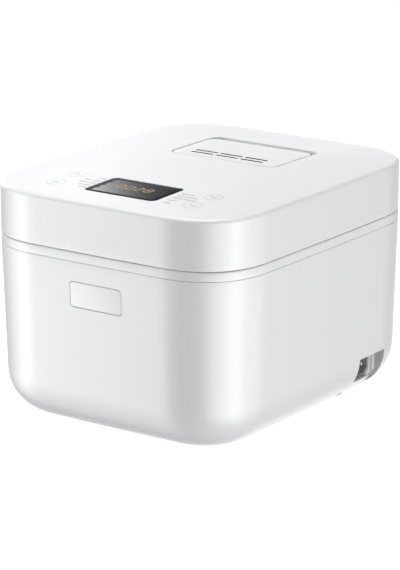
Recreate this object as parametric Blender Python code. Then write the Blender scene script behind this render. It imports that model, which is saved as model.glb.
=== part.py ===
"""A household rice cooker of the 3 litre class: a rounded box with a full-top clamshell lid.

Lengths are millimetres. They are turned into metres where each mesh is made.
+Z is up, the front with its release button looks along -Y, and the floor is at z = 0.
"""

import math

import bmesh
import bpy
import numpy as np
from mathutils import Vector

MM = 0.001
TAU = 2 * math.pi
GAP = 0.3

# Plan outline: a rectangle with superelliptic corners and slightly bowed sides.
WIDTH = 245.0
DEPTH = 292.4
CORNER_R = 61.2
CORNER_POWER = 2.45
SIDE_BOW = 1.67
CORNER_SPAN = (35.0, 67.0)
SIDE_STEPS = 3
CORNER_STEPS = 6
ROUND_POINTS = 36

# Heights of the casing.
Z_FLOOR_GAP = 4.0
Z_CREASE = 148.7
Z_SEAM = 156.7
Z_LID_SIDE = 195.3
Z_LID_EDGE = 198.5
Z_LID_TOP = 201.4
TAPER = 0.028
FILLET_H = 34.8
FILLET_V = 37.8
LID_ROUND = 3.4
WALL = 2.6

# The lid's top is a low dome. Its rings shrink towards a crest behind the middle.
CREST_Y = 20.0
DOME_POWER = 2.4
DOME_SHARES = (1.0, 0.8, 0.6, 0.4, 0.2)

# Bottom opening, its flange and the plate that closes it.
FLANGE_INSET = 50.0
PLATE_INSET = 50.4
PLATE_LIP_INSET = 41.0
PLATE_LIP_Z = (6.9, 8.9)
BASE_SCREW_INSET = 45.5

# Pot well.
WELL_R = 112.8
LEDGE_R = 104.6
LEDGE_Z = 149.8
POT_FLANGE_R = 110.0
POT_TOP_R = 101.5
POT_LOW_R = 98.5
POT_BOTTOM_R = 66.0
POT_BOTTOM_Z = 34.0
POT_WALL = 2.0
LINER_R = 106.0
LINER_WALL = 1.2

# Lid hinge, latch and button.
HINGE_Y = 148.2
HINGE_Z = 147.0
KNUCKLE_R = 4.0
KNUCKLE_SIDES = 16
PIN_R = 1.6
LATCH_Y = -139.5
LATCH_Z = 138.0
BUTTON_SIZE = (51.0, 21.0)
BUTTON_Z = 121.6

# Features of the lid's top.
DISPLAY_SIZE = (70.0, 43.8)
DISPLAY_Y = -94.7
DISPLAY_SEAT_Z = 197.6
DISPLAY_TOP_Z = (199.4, 200.5)
VENT_X = 53.0
VENT_Y = (24.9, 96.0)
VENT_PLATE_Y = (25.8, 88.0)
WELL_FLOOR_Z = 192.0
STEAM_Y = 60.0
SLOT_X = ((-37.4, -15.0), (-12.4, 10.0), (12.6, 35.1))
SLOT_Y = (36.3, 43.5)
SLOT_W = 2.3
KEY_SPOTS = ((-68.2, -81.0), (68.2, -81.0), (-67.7, -109.0), (67.7, -109.0))
SENSOR_SPOT = (-45.0, -10.0)

# Bay low on the right side, near the rear corner, with the power inlet.
BAY_Y = (55.0, 94.5)
BAY_Z = (19.5, 40.5)
BAY_LOW_Z = 13.0
BAY_LOW_Y = 80.0
INLET_X = 110.0
INLET_Y = (58.0, 85.0)
INLET_Z = (20.0, 40.0)
INLET_CORNER = 4.6

REAR_FOOT = (83.0, 72.0)
FRONT_FOOT = (62.0, -92.0)
FOOT_R = 8.0

# The hinge stands proud of the back, so the whole model is moved to centre its box on Y.
FRONT_Y = -(DEPTH / 2 + SIDE_BOW)
REAR_Y = HINGE_Y + KNUCKLE_R * math.cos(math.pi / KNUCKLE_SIDES)
CENTRE_SHIFT = -(FRONT_Y + REAR_Y) / 2


def clear_scene():
    for old in list(bpy.data.objects):
        bpy.data.objects.remove(old, do_unlink=True)


def finish(name, colour, roughness=0.4, metallic=0.0):
    """A Principled material."""
    made = bpy.data.materials.new(name)
    made.use_nodes = True
    shader = made.node_tree.nodes["Principled BSDF"]
    shader.inputs["Base Color"].default_value = (*colour, 1.0)
    shader.inputs["Roughness"].default_value = roughness
    shader.inputs["Metallic"].default_value = metallic
    return made


def pivot(name, place, parent=None):
    """An empty on a joint's axis, or at the model's origin."""
    made = bpy.data.objects.new(name, None)
    made.empty_display_size = 0.02
    bpy.context.scene.collection.objects.link(made)
    above = parent["place_mm"] if parent else (0.0, 0.0, 0.0)
    made.parent = parent
    made.location = [(a - b) * MM for a, b in zip(place, above)]
    made["place_mm"] = place
    return made


def mesh_object(name, shape, parent, origin):
    """Turns a bmesh in millimetres into an object whose own origin is at `origin`."""
    bmesh.ops.recalc_face_normals(shape, faces=shape.faces)
    for vertex in shape.verts:
        vertex.co = (vertex.co - Vector(origin)) * MM
    mesh = bpy.data.meshes.new(name)
    shape.to_mesh(mesh)
    shape.free()
    made = bpy.data.objects.new(name, mesh)
    bpy.context.scene.collection.objects.link(made)
    made.parent = parent
    made.location = [(a - b) * MM for a, b in zip(origin, parent["place_mm"])]
    made["origin_mm"] = tuple(origin)
    return made


def node(name, shape, material, parent, origin=None):
    made = mesh_object(name, shape, parent, origin or tuple(parent["place_mm"]))
    made.data.materials.append(material)
    made.data.shade_smooth()
    made.data.set_sharp_from_angle(angle=math.radians(32))
    return made


def change(target, shape, operation):
    """Adds an exact Boolean to `target`, with a hidden helper in the same frame."""
    count = len(target.modifiers)
    helper = mesh_object(
        f"{target.name}_{operation.lower()}_{count}",
        shape,
        target.parent,
        tuple(target["origin_mm"]),
    )
    helper.hide_render = True
    helper.display_type = "WIRE"
    made = target.modifiers.new(f"{operation.lower()}_{count}", "BOOLEAN")
    made.operation = operation
    made.solver = "EXACT"
    made.object = helper


def cut(target, shape):
    change(target, shape, "DIFFERENCE")


def join(target, shape):
    change(target, shape, "UNION")


def keep_inside(target, shape):
    change(target, shape, "INTERSECT")


# Shapes


def ring_turns():
    """Angles of a ring's points, closer together round the corners."""
    first, last = (math.radians(angle) for angle in CORNER_SPAN)
    quarter = [first * k / SIDE_STEPS for k in range(SIDE_STEPS)]
    quarter += [first + (last - first) * k / CORNER_STEPS for k in range(CORNER_STEPS)]
    rest = math.pi / 2 - last
    quarter += [last + rest * k / (SIDE_STEPS - 1) for k in range(SIDE_STEPS - 1)]
    half = quarter + [math.pi / 2] + [math.pi - turn for turn in quarter[:0:-1]]
    return half + [turn + math.pi for turn in half]


def outline(inset, z):
    """One ring of the plan outline at height z, pulled in by `inset`."""
    half_w = WIDTH / 2 - inset
    half_d = DEPTH / 2 - inset
    radius = max(CORNER_R - inset, 8.0)
    bend = np.linspace(0.0, math.pi / 2, 49)
    cosine = np.cos(bend) ** (2 / CORNER_POWER)
    sine = np.sin(bend) ** (2 / CORNER_POWER)
    side = np.linspace(0.0, half_d - radius, 40)[:-1]
    back = np.linspace(half_w - radius, 0.0, 40)[1:]
    x = np.concatenate([np.full(39, half_w), half_w - radius + radius * cosine, back])
    y = np.concatenate([side, half_d - radius + radius * sine, np.full(39, half_d)])
    u = x / half_w
    v = y / half_d
    x = x + u**6 * SIDE_BOW * (1 - v**2)
    y = y + v**6 * SIDE_BOW * (1 - u**2)
    angle = np.arctan2(y, x)
    reach = np.hypot(x, y)
    points = []
    for turn in ring_turns():
        quarter = math.atan2(abs(math.sin(turn)), abs(math.cos(turn)))
        length = float(np.interp(quarter, angle, reach))
        points.append((length * math.cos(turn), length * math.sin(turn), z))
    return points


def circle(radius, z, count=None, centre=(0.0, 0.0)):
    """A round ring. With no count, it matches an outline ring point for point."""
    turns = [TAU * (k + 0.5) / count for k in range(count)] if count else ring_turns()
    return [
        (centre[0] + radius * math.cos(t), centre[1] + radius * math.sin(t), z)
        for t in turns
    ]


def loft(rings, ring_shaped=False):
    """Skins a stack of rings. The ends are capped, or joined to each other."""
    shape = bmesh.new()
    made = [[shape.verts.new(point) for point in ring] for ring in rings]
    count = len(rings[0])
    pairs = list(zip(made, made[1:]))
    if ring_shaped:
        pairs.append((made[-1], made[0]))
    for low, high in pairs:
        for k in range(count):
            after = (k + 1) % count
            shape.faces.new((low[k], low[after], high[after], high[k]))
    if not ring_shaped:
        shape.faces.new(made[0][::-1])
        shape.faces.new(made[-1])
    return shape


def turned(profile, count=36, centre=(0.0, 0.0), ring_shaped=False):
    """A turned piece from (radius, z) pairs about a vertical axis."""
    return loft([circle(r, z, count, centre) for r, z in profile], ring_shaped)


def rounded_rectangle(low, high, radius, steps=3):
    """Corner points of a rectangle in a plane, with round corners."""
    points = []
    corners = (
        (high[0] - radius, high[1] - radius, 0.0),
        (low[0] + radius, high[1] - radius, 90.0),
        (low[0] + radius, low[1] + radius, 180.0),
        (high[0] - radius, low[1] + radius, 270.0),
    )
    for x, y, start in corners:
        for k in range(steps + 1):
            turn = math.radians(start + 90.0 * k / steps)
            points.append((x + radius * math.cos(turn), y + radius * math.sin(turn)))
    return points


def prism(points, axis, low, high):
    """Extrudes plane points along an axis: YZ points for X, XZ for Y, XY for Z."""
    place = {
        "X": lambda p, a: (a, p[0], p[1]),
        "Y": lambda p, a: (p[0], a, p[1]),
        "Z": lambda p, a: (p[0], p[1], a),
    }[axis]
    return loft([[place(p, low) for p in points], [place(p, high) for p in points]])


def box(low, high):
    corners = [(low[0], low[1]), (high[0], low[1]), (high[0], high[1]), (low[0], high[1])]
    return prism(corners, "Z", low[2], high[2])


def rod(axis, centre, radius, low, high, count=16):
    """A cylinder along an axis. `centre` holds the other two coordinates."""
    turns = [TAU * (k + 0.5) / count for k in range(count)]
    points = [
        (centre[0] + radius * math.cos(t), centre[1] + radius * math.sin(t)) for t in turns
    ]
    return prism(points, axis, low, high)


def tube(path, radius, sides=6):
    """A round wire along a path of points."""
    points = [Vector(point) for point in path]
    rings = []
    side = None
    for k, point in enumerate(points):
        ahead = points[min(k + 1, len(points) - 1)] - points[max(k - 1, 0)]
        ahead.normalize()
        if side is None:
            side = ahead.orthogonal().normalized()
        side = (side - ahead * side.dot(ahead)).normalized()
        other = ahead.cross(side)
        turns = [TAU * j / sides for j in range(sides)]
        rings.append(
            [tuple(point + (side * math.cos(t) + other * math.sin(t)) * radius) for t in turns]
        )
    return loft(rings)


def coil(start, axis, length, radius, wire, turns, steps=9, sides=5, end_radius=None):
    """A helical spring that runs from `start` along an axis."""
    end_radius = end_radius or radius
    along = {"X": (1, 2, 0), "Y": (2, 0, 1), "Z": (0, 1, 2)}[axis]
    total = int(turns * steps)
    path = []
    for k in range(total + 1):
        part = k / total
        turn = TAU * turns * part
        reach = radius + (end_radius - radius) * part
        point = [0.0, 0.0, 0.0]
        point[along[0]] = start[along[0]] + reach * math.cos(turn)
        point[along[1]] = start[along[1]] + reach * math.sin(turn)
        point[along[2]] = start[along[2]] + length * part
        path.append(point)
    return tube(path, wire, sides)


def face_y(z):
    """Y of the front face's middle at height z."""
    return -(DEPTH / 2 - TAPER * max(Z_CREASE - z, 0.0) + SIDE_BOW)


def fillet(extra_inset, z_low, share, steps):
    """(inset, z) pairs of the bottom fillet, from its foot to where the side starts."""
    start = TAPER * (Z_CREASE - Z_FLOOR_GAP - FILLET_V) + extra_inset
    run = FILLET_H * share
    rise = Z_FLOOR_GAP + FILLET_V - z_low
    pairs = []
    for k in range(steps + 1):
        turn = math.pi / 2 * (1 - k / steps)
        pairs.append((start + run * (1 - math.cos(turn)), z_low + rise * (1 - math.sin(turn))))
    return pairs


# Casing


def outer_shell(root, material):
    outside = fillet(0.0, Z_FLOOR_GAP, 1.0, 5)
    inside = fillet(WALL, Z_FLOOR_GAP + WALL, 0.925, 4)
    top = Z_CREASE - GAP / 2
    rings = [outline(FLANGE_INSET, Z_FLOOR_GAP)]
    rings += [outline(inset, z) for inset, z in outside]
    rings += [outline(0.0, top), outline(WALL, top)]
    rings += [outline(inset, z) for inset, z in reversed(inside)]
    rings += [outline(FLANGE_INSET, Z_FLOOR_GAP + WALL)]
    made = node("outer_shell", loft(rings, ring_shaped=True), material, root)
    half_w = BUTTON_SIZE[0] / 2 + 0.4
    half_h = BUTTON_SIZE[1] / 2 + 0.4
    opening = rounded_rectangle((-half_w, BUTTON_Z - half_h), (half_w, BUTTON_Z + half_h), 3.4)
    cut(made, prism(opening, "Y", FRONT_Y - 3.0, FRONT_Y + 9.0))
    window = rounded_rectangle((BAY_Y[0], BAY_Z[0]), (BAY_Y[1], BAY_Z[1]), 1.5)
    cut(made, prism(window, "X", 96.0, 130.0))
    lower = rounded_rectangle((BAY_LOW_Y, BAY_LOW_Z), (BAY_Y[1], BAY_Z[0] + 4.0), 1.5)
    cut(made, prism(lower, "X", 96.0, 131.0))
    notch = (-33.0, HINGE_Y - KNUCKLE_R - 1.0, HINGE_Z - KNUCKLE_R - 1.2)
    cut(made, box(notch, (33.0, 156.0, Z_CREASE + 2.0)))
    for x, y in base_screw_spots():
        cut(made, rod("Z", (x, y), 1.9, 2.0, 10.0, 12))
        cut(made, rod("Z", (x, y), 3.5, 2.0, Z_FLOOR_GAP + 1.6, 12))
    return made


def collar_ring(root, material):
    low = Z_CREASE + GAP / 2
    rings = [
        outline(0.0, low),
        outline(0.0, Z_SEAM - 0.9),
        outline(0.6, Z_SEAM - GAP),
        circle(WELL_R, Z_SEAM - GAP),
        circle(WELL_R, LEDGE_Z),
        circle(LEDGE_R, LEDGE_Z),
        circle(LEDGE_R, LEDGE_Z - 2.4),
        circle(WELL_R + 2.2, LEDGE_Z - 2.4),
        circle(WELL_R + 2.2, Z_SEAM - 2.7),
        outline(5.2, Z_SEAM - 2.7),
        outline(5.2, Z_CREASE - 5.2),
        outline(3.1, Z_CREASE - 5.2),
        outline(3.1, low),
    ]
    made = node("collar_ring", loft(rings, ring_shaped=True), material, root)
    notch = (-33.0, HINGE_Y - KNUCKLE_R - 1.0, HINGE_Z - KNUCKLE_R - 6.0)
    cut(made, box(notch, (33.0, 156.0, HINGE_Z + KNUCKLE_R + 1.2)))
    cut(made, box((-14.0, -145.1, 140.0), (14.0, -133.4, Z_SEAM - 2.3)))
    cut(made, box((-13.5, -141.5, 150.0), (13.5, -134.2, 160.0)))
    return made


def base_screw_spots():
    x = WIDTH / 2 - BASE_SCREW_INSET
    y = DEPTH / 2 - BASE_SCREW_INSET
    return ((x, 0.0), (0.0, y), (-x, 0.0), (0.0, -y))


def housing_posts():
    reach = 93.0 / math.sqrt(2.0)
    return [(reach * i, reach * j) for i in (-1, 1) for j in (-1, 1)]


def base_plate(root, material):
    rings = [
        outline(PLATE_INSET, Z_FLOOR_GAP),
        outline(PLATE_INSET, PLATE_LIP_Z[0]),
        outline(PLATE_LIP_INSET, PLATE_LIP_Z[0]),
        outline(PLATE_LIP_INSET, PLATE_LIP_Z[1]),
    ]
    made = node("base_plate", loft(rings), material, root)
    for x, y in base_screw_spots():
        join(made, rod("Z", (x, y), 3.8, PLATE_LIP_Z[1] - 0.7, 16.0, 8))
        cut(made, rod("Z", (x, y), 1.9, 2.0, 20.0, 12))
    for x, y in housing_posts():
        join(made, rod("Z", (x, y), 4.0, PLATE_LIP_Z[1] - 0.8, 20.7, 8))
    for k in range(5):
        x = 14.0 * (k - 2)
        cut(made, box((x - 2.0, -30.0, 2.0), (x + 2.0, 30.0, 10.0)))
    return made


def base_screws(root, material):
    profile = [(3.0, Z_FLOOR_GAP + 0.3), (3.0, Z_FLOOR_GAP + 1.2), (1.5, 5.25), (1.5, 14.0)]
    for name, spot in zip(("right", "rear", "left", "front"), base_screw_spots()):
        node(f"base_screw_{name}", turned(profile, 12, spot), material, root)


def feet(root, material):
    spots = {
        "foot_front_left": (-FRONT_FOOT[0], FRONT_FOOT[1]),
        "foot_front_right": FRONT_FOOT,
        "foot_rear_left": (-REAR_FOOT[0], REAR_FOOT[1]),
        "foot_rear_right": REAR_FOOT,
    }
    profile = [(FOOT_R - 0.8, 0.0), (FOOT_R, 0.8), (FOOT_R, Z_FLOOR_GAP - GAP)]
    for name, place in spots.items():
        node(name, turned(profile, 20, place), material, root)


# Pot and heating


def inner_housing(root, material):
    outside = LINER_R + LINER_WALL
    profile = [
        (outside, 21.0),
        (outside, LEDGE_Z - 2.7),
        (LINER_R, LEDGE_Z - 2.7),
        (LINER_R, 22.2),
        (88.0, 22.2),
        (88.0, 21.0),
    ]
    return node("inner_housing", turned(profile, ROUND_POINTS, ring_shaped=True), material, root)


def keep_warm_band(root, material):
    low = LINER_R + LINER_WALL + GAP
    profile = [(low, 75.0), (low + 1.6, 75.0), (low + 1.6, 105.0), (low, 105.0)]
    return node("keep_warm_band", turned(profile, ROUND_POINTS, ring_shaped=True), material, root)


def inner_pot(root, material):
    bend_r = POT_LOW_R - POT_BOTTOM_R
    outside = []
    inside = []
    for k in range(5):
        turn = math.pi / 2 * k / 4
        reach = bend_r * math.sin(turn)
        rise = bend_r * (1 - math.cos(turn))
        outside.append((POT_BOTTOM_R + reach, POT_BOTTOM_Z + rise))
        scale = (bend_r - POT_WALL) / bend_r
        inside.append((POT_BOTTOM_R + reach * scale, POT_BOTTOM_Z + POT_WALL + rise * scale))
    flange_z = LEDGE_Z + GAP
    profile = outside + [
        (POT_TOP_R, flange_z),
        (POT_FLANGE_R, flange_z),
        (POT_FLANGE_R, flange_z + 1.8),
        (POT_TOP_R - 0.8, flange_z + 1.8),
        (POT_TOP_R - POT_WALL, flange_z + 0.4),
    ]
    profile += inside[::-1]
    return node("inner_pot", turned(profile, ROUND_POINTS), material, root)


def heating_plate(root, material):
    top = POT_BOTTOM_Z - GAP
    profile = [(19.0, 28.7), (84.0, 28.7), (84.0, top - 1.0), (82.0, top), (19.0, top)]
    return node("heating_plate", turned(profile, ROUND_POINTS, ring_shaped=True), material, root)


def heating_element(root, material):
    ring_r = 58.0
    height = 24.6
    path = []
    open_half = math.radians(14.0)
    for k in range(25):
        turn = math.pi / 2 + open_half + (TAU - 2 * open_half) * k / 24
        path.append((ring_r * math.cos(turn), ring_r * math.sin(turn), height))
    first = path[0]
    last = path[-1]
    path = [(first[0] + 2.0, first[1] + 1.0, 12.5), (first[0] + 2.0, first[1] + 1.0, 21.0)] + path
    path += [(last[0] - 2.0, last[1] + 1.0, 21.0), (last[0] - 2.0, last[1] + 1.0, 12.5)]
    return node("heating_element", tube(path, 3.4, 6), material, root)


def thermostat(root, metal, steel, spring):
    bracket = [
        (5.0, 12.0),
        (22.5, 12.0),
        (22.5, 28.4),
        (21.0, 28.4),
        (21.0, 14.0),
        (5.0, 14.0),
    ]
    node("thermostat_bracket", turned(bracket, 20, ring_shaped=True), steel, root)
    top = POT_BOTTOM_Z - GAP
    cup = [(15.0, top), (16.0, top - 1.0), (16.0, 22.0), (14.8, 22.0), (14.8, top - 1.3)]
    origin = (0.0, 0.0, top)
    node("thermostat_sensor", turned(cup, 24), metal, root, origin)
    length = top - 1.6 - 14.3 - 1.8
    made = coil((0.0, 0.0, 15.2), "Z", length, 10.0, 0.8, 4, 9, 4)
    node("thermostat_spring", made, spring, root)


def thermal_fuse(root, material):
    made = node("thermal_fuse", rod("Y", (36.0, 25.4), 2.6, -9.0, 9.0, 14), material, root)
    for y in (-14.0, 8.7):
        join(made, rod("Y", (36.0, 25.4), 0.9, y, y + 5.3, 8))


# Electrics in the body


def power_board(root, board, parts):
    y = 131.0
    made = box((-48.0, y, 55.0), (48.0, y + 1.6, 115.0))
    node("power_board", made, board, root)
    front = y - GAP
    node("relay", box((12.0, front - 13.0, 62.0), (32.0, front, 76.0)), parts, root)
    node("transformer", box((-34.0, front - 12.0, 60.0), (-12.0, front, 80.0)), parts, root)
    node("terminal_block", box((-42.0, front - 8.0, 98.0), (-14.0, front, 108.0)), parts, root)
    node("capacitor", rod("Y", (22.0, 94.0), 6.0, front - 14.0, front, 14), parts, root)


def inlet_outline(grow=0.0):
    """The mains inlet's outline: a rectangle with its two lower corners cut off."""
    y0, y1 = INLET_Y[0] - grow, INLET_Y[1] + grow
    z0, z1 = INLET_Z[0] - grow, INLET_Z[1] + grow
    left = [(y0, z1), (y0, z0 + INLET_CORNER), (y0 + INLET_CORNER, z0)]
    right = [(y1 - INLET_CORNER, z0), (y1, z0 + INLET_CORNER), (y1, z1)]
    return left + right


def power_inlet(root, material, metal):
    made = node("power_inlet", prism(inlet_outline(), "X", 92.8, INLET_X), material, root)
    cut(made, prism(inlet_outline(-1.7), "X", 96.0, INLET_X + 5.0))
    middle = (INLET_Y[0] + INLET_Y[1]) / 2
    spots = {
        "line": (middle - 7.0, 29.0),
        "earth": (middle, 33.5),
        "neutral": (middle + 7.0, 29.0),
    }
    for name, (y, z) in spots.items():
        low = (96.0 + GAP, y - 1.0, z - 2.0)
        high = (INLET_X - 2.0, y + 1.0, z + 2.0)
        node(f"inlet_pin_{name}", box(low, high), metal, root)


def shell_inside(extra):
    """The space inside the shell's wall, as a solid."""
    pairs = fillet(WALL + extra, Z_FLOOR_GAP + WALL + extra, 0.925, 4)
    rings = [outline(inset, z) for inset, z in pairs]
    rings.append(outline(WALL + extra + 3.0, 60.0))
    return loft(rings)


def inlet_bay(root, material):
    """A tray that lines the bay, with a frame round the inlet that ends in an upright rib."""
    made = node("inlet_bay", box((101.0, 53.0, 11.0), (124.0, 110.0, 43.0)), material, root)
    cut(made, box((103.0, 55.0, 13.0), (140.0, 108.0, 41.0)))
    join(made, box((102.0, 54.0, 12.0), (INLET_X, 89.6, 42.0)))
    join(made, box((102.0, 88.0, 12.0), (INLET_X + 1.0, 92.6, 42.0)))
    cut(made, prism(inlet_outline(GAP), "X", 90.0, 140.0))
    keep_inside(made, shell_inside(0.4))


def vent_grille(root, material):
    """A slatted panel on the bay's back wall, behind the rib."""
    made = box((103.4, 93.2, 13.6), (105.2, 107.4, 40.4))
    panel = node("vent_grille", made, material, root)
    for k in range(5):
        z = 17.5 + 4.6 * k
        cut(panel, box((98.0, 95.0, z), (110.0, 105.6, z + 2.0)))
    keep_inside(panel, shell_inside(0.8))


# Button and latch


def release_button(body, material):
    half_w = BUTTON_SIZE[0] / 2
    half_h = BUTTON_SIZE[1] / 2
    points = rounded_rectangle((-half_w, BUTTON_Z - half_h), (half_w, BUTTON_Z + half_h), 3.0)
    front = [(x, face_y(z) + 0.05, z) for x, z in points]
    back = [(x, -143.7, z) for x, z in points]
    origin = (0.0, -147.0, BUTTON_Z)
    made = node("release_button", loft([front, back]), material, body, origin)
    join(made, box((-27.6, -144.1, 113.0), (27.6, -143.3, 130.2)))
    # The post stays low enough that the hook's lever turns away as fast as the button moves.
    join(made, box((-6.0, -143.9, 116.6), (6.0, -141.8, 121.2)))


def button_springs(root, material):
    for name, x in (("left", -17.0), ("right", 17.0)):
        shape = coil((x, -142.4, BUTTON_Z), "Y", 9.8, 3.2, 0.5, 4, 7, 4)
        node(f"button_spring_{name}", shape, material, root)


def latch_bracket(root, material):
    made = node("latch_bracket", box((-34.0, -131.5, 108.0), (34.0, -129.7, 145.0)), material, root)
    for side in (-1.0, 1.0):
        ear = sorted((side * 21.0, side * 24.0))
        join(made, box((ear[0], -143.0, 134.4), (ear[1], -130.5, 142.4)))
        wing = sorted((side * 30.5, side * 33.0))
        join(made, box((wing[0], -143.4, 111.0), (wing[1], -130.5, 131.0)))
    cut(made, rod("X", (LATCH_Y, LATCH_Z), PIN_R + GAP, -30.0, 30.0, 12))


def latch_hook(body, material):
    origin = (0.0, LATCH_Y, LATCH_Z)
    made = node(
        "latch_hook", rod("X", (LATCH_Y, LATCH_Z), 3.8, -19.0, 19.0, 14), material, body, origin
    )
    join(made, box((-10.0, -142.2, 139.0), (10.0, -140.4, 149.4)))
    nose = [(-141.0, 145.0), (-139.3, 146.4), (-139.3, 148.0), (-141.0, 149.3)]
    join(made, prism(nose, "X", -9.6, 9.6))
    join(made, box((-8.0, -141.5, 117.0), (8.0, -139.5, 136.5)))
    cut(made, rod("X", (LATCH_Y, LATCH_Z), PIN_R + GAP, -30.0, 30.0, 12))


def latch_pin(root, material):
    node("latch_pin", rod("X", (LATCH_Y, LATCH_Z), PIN_R, -26.0, 26.0, 12), material, root)


def latch_striker(lid, material):
    """A tongue under the lid's front edge, with a window for the hook's nose."""
    made = node("latch_striker", box((-11.5, -138.9, 143.5), (11.5, -136.5, 165.0)), material, lid)
    cut(made, box((-10.4, -145.0, 145.6), (10.4, -130.0, 150.2)))
    join(made, box((-16.0, -143.5, 161.0), (16.0, -130.0, 163.0)))


# Hinge


def knuckle(low, high):
    return rod("X", (HINGE_Y, HINGE_Z), KNUCKLE_R, low, high, KNUCKLE_SIDES)


def pin_hole():
    return rod("X", (HINGE_Y, HINGE_Z), PIN_R + GAP, -45.0, 45.0, 12)


def hinge_bracket(root, material):
    """The body's half: four ears on a leaf that is screwed to the back."""
    made = node("hinge_bracket", box((-32.0, 148.5, 128.0), (32.0, 150.5, 142.2)), material, root)
    for low, high in ((-32.0, -28.0), (-11.5, -8.5), (8.5, 11.5), (28.0, 32.0)):
        join(made, knuckle(low, high))
        join(made, box((low, 148.4, 141.0), (high, 150.5, HINGE_Z)))
    cut(made, pin_hole())


def hinge_arm(lid, material):
    """The lid's half: two knuckles on a leaf that rises behind the lid."""
    made = node("lid_hinge_arm", box((-27.5, 148.5, 152.6), (27.5, 150.5, 174.0)), material, lid)
    for low, high in ((-27.5, -12.0), (12.0, 27.5)):
        join(made, knuckle(low, high))
        join(made, box((low, 148.5, HINGE_Z), (high, 150.5, 154.0)))
    cut(made, pin_hole())


def hinge_pin(root, material):
    node("hinge_pin", rod("X", (HINGE_Y, HINGE_Z), PIN_R, -31.8, 31.8, 12), material, root)


def hinge_spring(root, material):
    made = coil((-7.4, HINGE_Y, HINGE_Z), "X", 14.8, 2.9, 0.5, 6, 8, 4)
    node("hinge_spring", made, material, root)


# Lid


def dome_ring(share, lift=0.0):
    """A ring of the domed top, at a share of the way from the crest to the rim."""
    z = Z_LID_EDGE + (Z_LID_TOP - Z_LID_EDGE) * (1 - share**DOME_POWER) + lift
    rim = outline(LID_ROUND, z)
    return [(x * share, CREST_Y + (y - CREST_Y) * share, z) for x, y, _ in rim]


def lid_cover(lid, material):
    low = Z_SEAM + GAP
    outside = [(0.5, low), (0.0, low + 0.6), (0.0, Z_LID_SIDE)]
    rise = Z_LID_EDGE - Z_LID_SIDE
    for k in range(1, 4):
        turn = math.pi / 2 * k / 4
        outside.append((LID_ROUND * (1 - math.cos(turn)), Z_LID_SIDE + rise * math.sin(turn)))
    rings = [dome_ring(share) for share in reversed(DOME_SHARES)]
    rings += [outline(inset, z) for inset, z in reversed(outside)]
    rings += [outline(inset, z) for inset, z in ((WALL, low), (WALL, 193.0), (5.6, 195.7))]
    rings += [dome_ring(share, -WALL) for share in DOME_SHARES[1:]]
    made = node("lid_cover", loft(rings), material, lid)
    add_vent_well(made)
    add_display_seat(made)
    for x, y in lid_screw_spots():
        join(made, rod("Z", (x, y), 4.2, 161.2, 198.4, 12))
        cut(made, rod("Z", (x, y), 1.9, 158.0, 176.0, 12))


def vent_well_outline(grow=0.0):
    low = (-VENT_X - grow, VENT_Y[0] - grow)
    return rounded_rectangle(low, (VENT_X + grow, VENT_Y[1] + grow), 7.0 + grow, 4)


def add_vent_well(cover):
    join(cover, prism(vent_well_outline(2.4), "Z", WELL_FLOOR_Z - 2.4, 199.6))
    cut(cover, prism(vent_well_outline(), "Z", WELL_FLOOR_Z, 205.0))
    cut(cover, rod("Z", (0.0, STEAM_Y), 20.6, 180.0, 200.0, 28))


def display_outline(grow=0.0):
    half_w = DISPLAY_SIZE[0] / 2 + grow
    half_d = DISPLAY_SIZE[1] / 2 + grow
    low = (-half_w, DISPLAY_Y - half_d)
    return rounded_rectangle(low, (half_w, DISPLAY_Y + half_d), 5.0 + grow)


def add_display_seat(cover):
    join(cover, prism(display_outline(4.0), "Z", 195.6, 198.6))
    cut(cover, prism(display_outline(0.4), "Z", DISPLAY_SEAT_Z, 205.0))
    cut(cover, prism(display_outline(-4.0), "Z", 190.0, 205.0))


def display_window(lid, material):
    points = display_outline()
    front, back = DISPLAY_TOP_Z
    slope = (back - front) / DISPLAY_SIZE[1]
    middle = (front + back) / 2
    bottom = [(x, y, DISPLAY_SEAT_Z + GAP) for x, y in points]
    top = [(x, y, middle + (y - DISPLAY_Y) * slope) for x, y in points]
    node("display_window", loft([bottom, top]), material, lid)


def display_module(lid, material):
    node("display_module", box((-29.0, -111.0, 190.2), (29.0, -78.0, 197.2)), material, lid)


def control_board(lid, material):
    """The touch board, with a conical contact spring soldered on under each key."""
    shape = box((-82.0, -124.0, 188.2), (82.0, -66.0, 189.8))
    made = node("control_board", shape, material, lid)
    for x, y in KEY_SPOTS:
        join(made, coil((x, y, 189.9), "Z", 5.8, 4.6, 0.45, 2, 8, 4, 2.6))


def steam_duct_hole(radius):
    return rod("Z", (0.0, STEAM_Y), radius, 140.0, 200.0, 28)


def lid_liner(lid, material):
    rings = [
        circle(110.0, 158.0),
        circle(110.0, 153.4),
        circle(111.6, 153.4),
        circle(111.6, Z_SEAM + 0.6),
        outline(3.2, Z_SEAM + 0.6),
        outline(3.2, 160.6),
    ]
    made = node("lid_liner", loft(rings), material, lid)
    join(made, rod("Z", (0.0, STEAM_Y), 24.0, 159.2, 188.6, 28))
    cut(made, steam_duct_hole(21.8))
    cut(made, box((-12.2, -139.6, 150.0), (12.2, -135.8, 170.0)))
    cut(made, rod("Z", SENSOR_SPOT, 4.5, 150.0, 170.0, 16))
    for x, y in lid_screw_spots():
        cut(made, rod("Z", (x, y), 1.9, 150.0, 170.0, 12))
        cut(made, rod("Z", (x, y), 3.7, 150.0, 159.2, 12))


def lid_screw_spots():
    return [(92.0 * i, 112.0 * j) for i in (-1, 1) for j in (-1, 1)]


def lid_screws(lid, material):
    profile = [(3.2, 157.4), (3.2, 158.8), (1.5, 158.9), (1.5, 172.0)]
    names = ("front_left", "rear_left", "front_right", "rear_right")
    for name, spot in zip(names, lid_screw_spots()):
        node(f"lid_screw_{name}", turned(profile, 12, spot), material, lid)


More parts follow.
